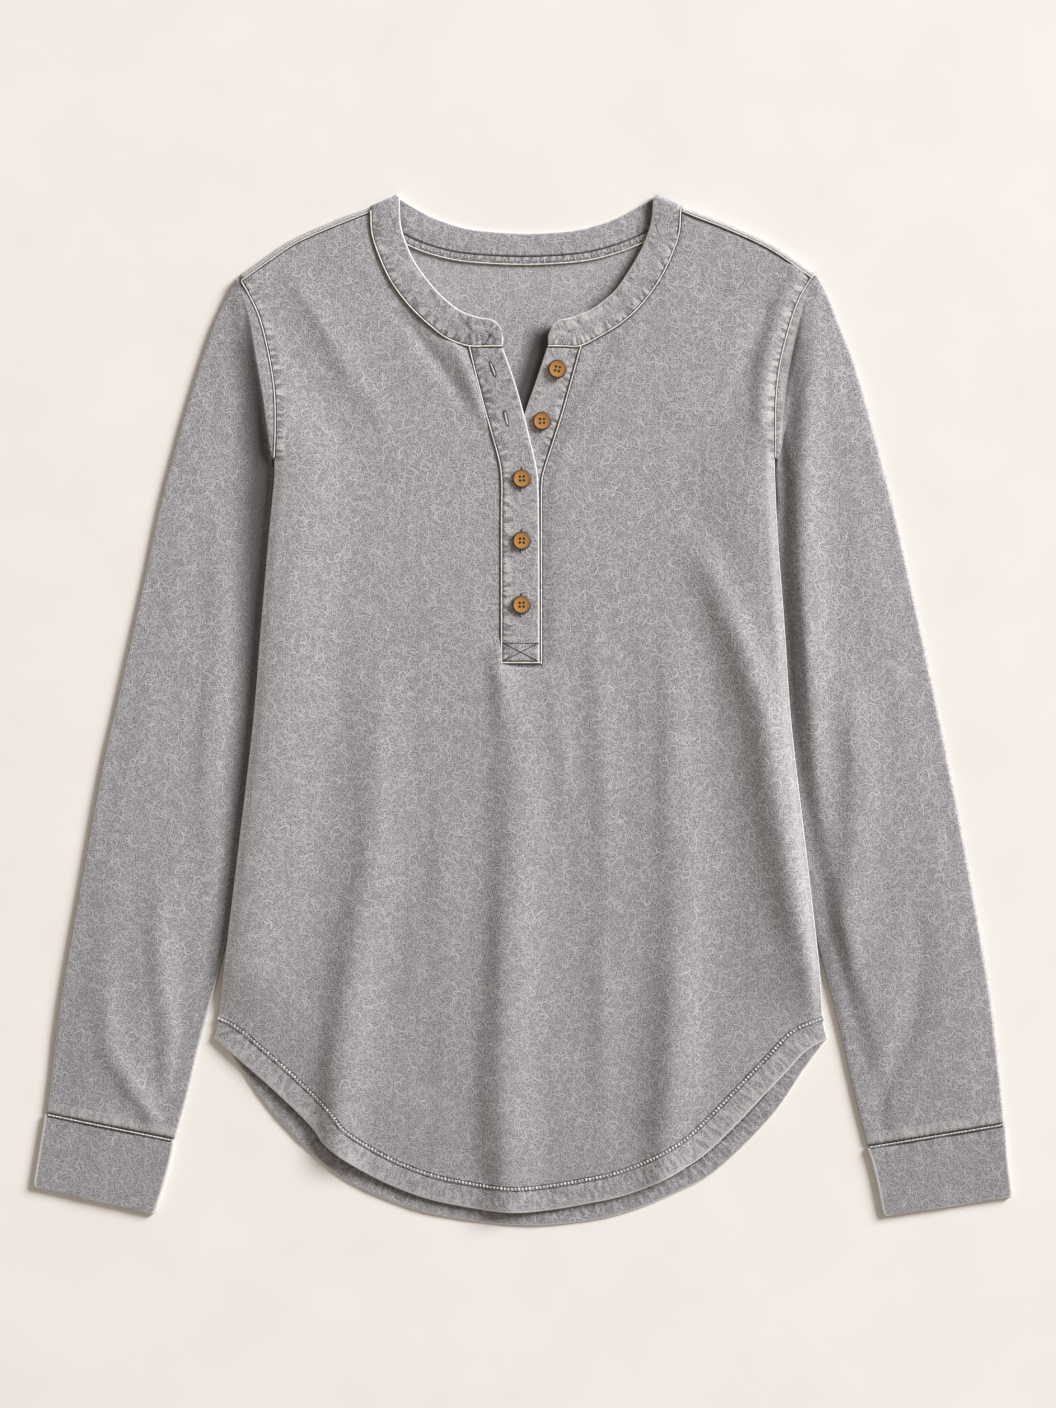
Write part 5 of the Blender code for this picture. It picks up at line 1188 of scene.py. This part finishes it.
for share, code in ((add("MapRange", from_centre, 5.1, 5.6, 0, 0.97), "#3d2610"),
                    (add("MapRange", ring_far, 0.1, 0.45, 0.35, 0), "#8a5c2b")):
    colour = add("Mix", {0: share, 6: colour, 7: linear(code)}, data_type="RGBA")
add(shader, {"Base Color": colour, "Coat Weight": 0.12, "Coat Roughness": 0.3})


def round_pairs(ring):
    """Each corner of a closed ring with the next one."""
    return zip(ring, ring[1:] + ring[:1])


def turn_button(number, x, y, top, turn):
    """One button: rings turned from the profile, two faces with four holes, and the walls of the holes."""
    shape = bmesh.new()
    angles = np.linspace(0, 2 * math.pi, RIM_CORNERS, endpoint=False)
    rings = [[shape.verts.new((r * math.cos(a), r * math.sin(a), -d)) for a in angles] for r, d in BUTTON_PROFILE]
    for upper, lower in zip(rings, rings[1:]):
        for (a, b), (c, d) in zip(round_pairs(upper), round_pairs(lower)):
            shape.faces.new((a, c, d, b))
    spots = [(HOLE_OUT * math.cos(a), HOLE_OUT * math.sin(a)) for a in np.radians((45, 135, 225, 315))]
    walls = []
    for ring, depth in ((rings[0], BUTTON_PROFILE[0][1]), (rings[-1], BUTTON_PROFILE[-1][1])):
        loops = [[shape.verts.new((u + HOLE_RADIUS * math.cos(a), v + HOLE_RADIUS * math.sin(a), -depth))
                  for a in np.linspace(0, 2 * math.pi, HOLE_CORNERS, endpoint=False)] for u, v in spots]
        edges = [shape.edges.get(pair) for pair in round_pairs(ring)]
        edges += [shape.edges.new(pair) for loop in loops for pair in round_pairs(loop)]
        bmesh.ops.triangle_fill(shape, use_beauty=True, use_dissolve=False, edges=edges)
        walls.append(loops)
    for upper, lower in zip(*walls):
        for (a, b), (c, d) in zip(round_pairs(upper), round_pairs(lower)):
            shape.faces.new((a, b, d, c))
    bmesh.ops.recalc_face_normals(shape, faces=shape.faces)
    mesh = bpy.data.meshes.new(f"wooden_button_{number}")
    shape.to_mesh(mesh)
    shape.free()
    mesh.shade_smooth()
    mesh.set_sharp_from_angle(angle=math.radians(35))
    flat = np.array([v.co[:] for v in mesh.vertices])
    radius = mesh.attributes.new("radius", "FLOAT", "POINT")
    radius.data.foreach_set("value", np.hypot(flat[:, 0], flat[:, 1]).astype(np.float32))
    uv = mesh.uv_layers.new(name="grain")
    for loop, spot in zip(mesh.loops, uv.data):
        spot.uv = flat[loop.vertex_index, :2] + 20 * number
    c, s = math.cos(math.radians(turn)), math.sin(math.radians(turn))
    placed = np.column_stack([x + c * flat[:, 0] - s * flat[:, 1], y + s * flat[:, 0] + c * flat[:, 1],
                              top + flat[:, 2]])
    mesh.vertices.foreach_set("co", (placed * MM).reshape(-1).astype(np.float32))
    mesh.update()
    mesh.materials.append(button_wood)
    piece = new_object(mesh.name, mesh)
    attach(piece, "root")
    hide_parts(f"button_{number}")
    return [(x + c * u - s * v, y + s * u + c * v, top) for u, v in spots]


knots, tails, ticks = [], [], []
for number, (x, y, top, turn) in enumerate(BUTTONS, start=1):
    for u, v, z in turn_button(number, x, y, top, turn):
        knots.append(((u - 0.35, v, z - 1.1), (u + 0.35, v, z - 1.1)))
    knots.append(((x, y - 1, top - 2.6), (x, y + 1, top - 2.6)))
    if number > 2:
        ticks.append(((x - 0.2, y + 6, top - 1.9), (x + 0.1, y + 8.1, top - 2)))
    tails.append(np.array([(x - 1.2, y - 5.8, top - 1.8), (x - 0.5, y - 8, top - 1.9)]))
sew("button_sewing", knots, dark_thread, pitch=0.7, width=1.5, height=0.8, uneven=0.05)
sew("button_thread_ticks", ticks + tails, dark_thread, pitch=0.8, width=0.75, height=0.5, uneven=0.1)
sew("button_thread_tails", [tail + (0.55, 0.1, 0.15) for tail in tails], pale_thread, pitch=0.8, width=0.5,
    height=0.4, uneven=0.1)

# ---------------------------------------------------------------- Floor, light and camera
# A plain pale floor under a large soft lamp from the upper right, seen from straight above.

floor_mesh = bpy.data.meshes.new("floor")
floor_mesh.from_pydata([(-3, -3, 0), (3, -3, 0), (3, 3, 0), (-3, 3, 0)], [], [(0, 1, 2, 3)])
floor = new_object("floor", floor_mesh)
painted_board, shader, add = new_material("painted_board", 0.8)
# patches of 60 mm
clouds = add("TexNoise", {"Vector": add("TexCoord").outputs["Object"], "Scale": 16, "Detail": 4})
colour = add("Mix", {0: add("MapRange", clouds, 0.3, 0.7), 6: linear("#f0ebe6"), 7: linear("#f4efeb")},
             data_type="RGBA")
add(shader, {"Base Color": colour, "Specular IOR Level": 0.2})
floor_mesh.materials.append(painted_board)

world = bpy.data.worlds.new("soft_room")
bpy.context.scene.world = world
world.use_nodes = True
sky = world.node_tree.nodes["Background"]
sky.inputs["Color"].default_value = linear("#fff3e5")
sky.inputs["Strength"].default_value = 0.36

lamp = bpy.data.lights.new("window", "AREA")
lamp.shape = "DISK"
lamp.size = 9
lamp.energy = 6650
lamp.color = (0.95, 0.975, 1)
window = new_object("window", lamp)
window.location = (14.8, 10.4, 8.5)
window.rotation_euler = (-window.location).to_track_quat("-Z", "Y").to_euler()

lens = bpy.data.cameras.new("camera")
lens.lens = 100
lens.sensor_width = 36
camera = new_object("camera", lens)
camera.location = (0.0037, 0.0040, 2.62)
bpy.context.scene.camera = camera
bpy.context.scene.view_settings.view_transform = "Standard"
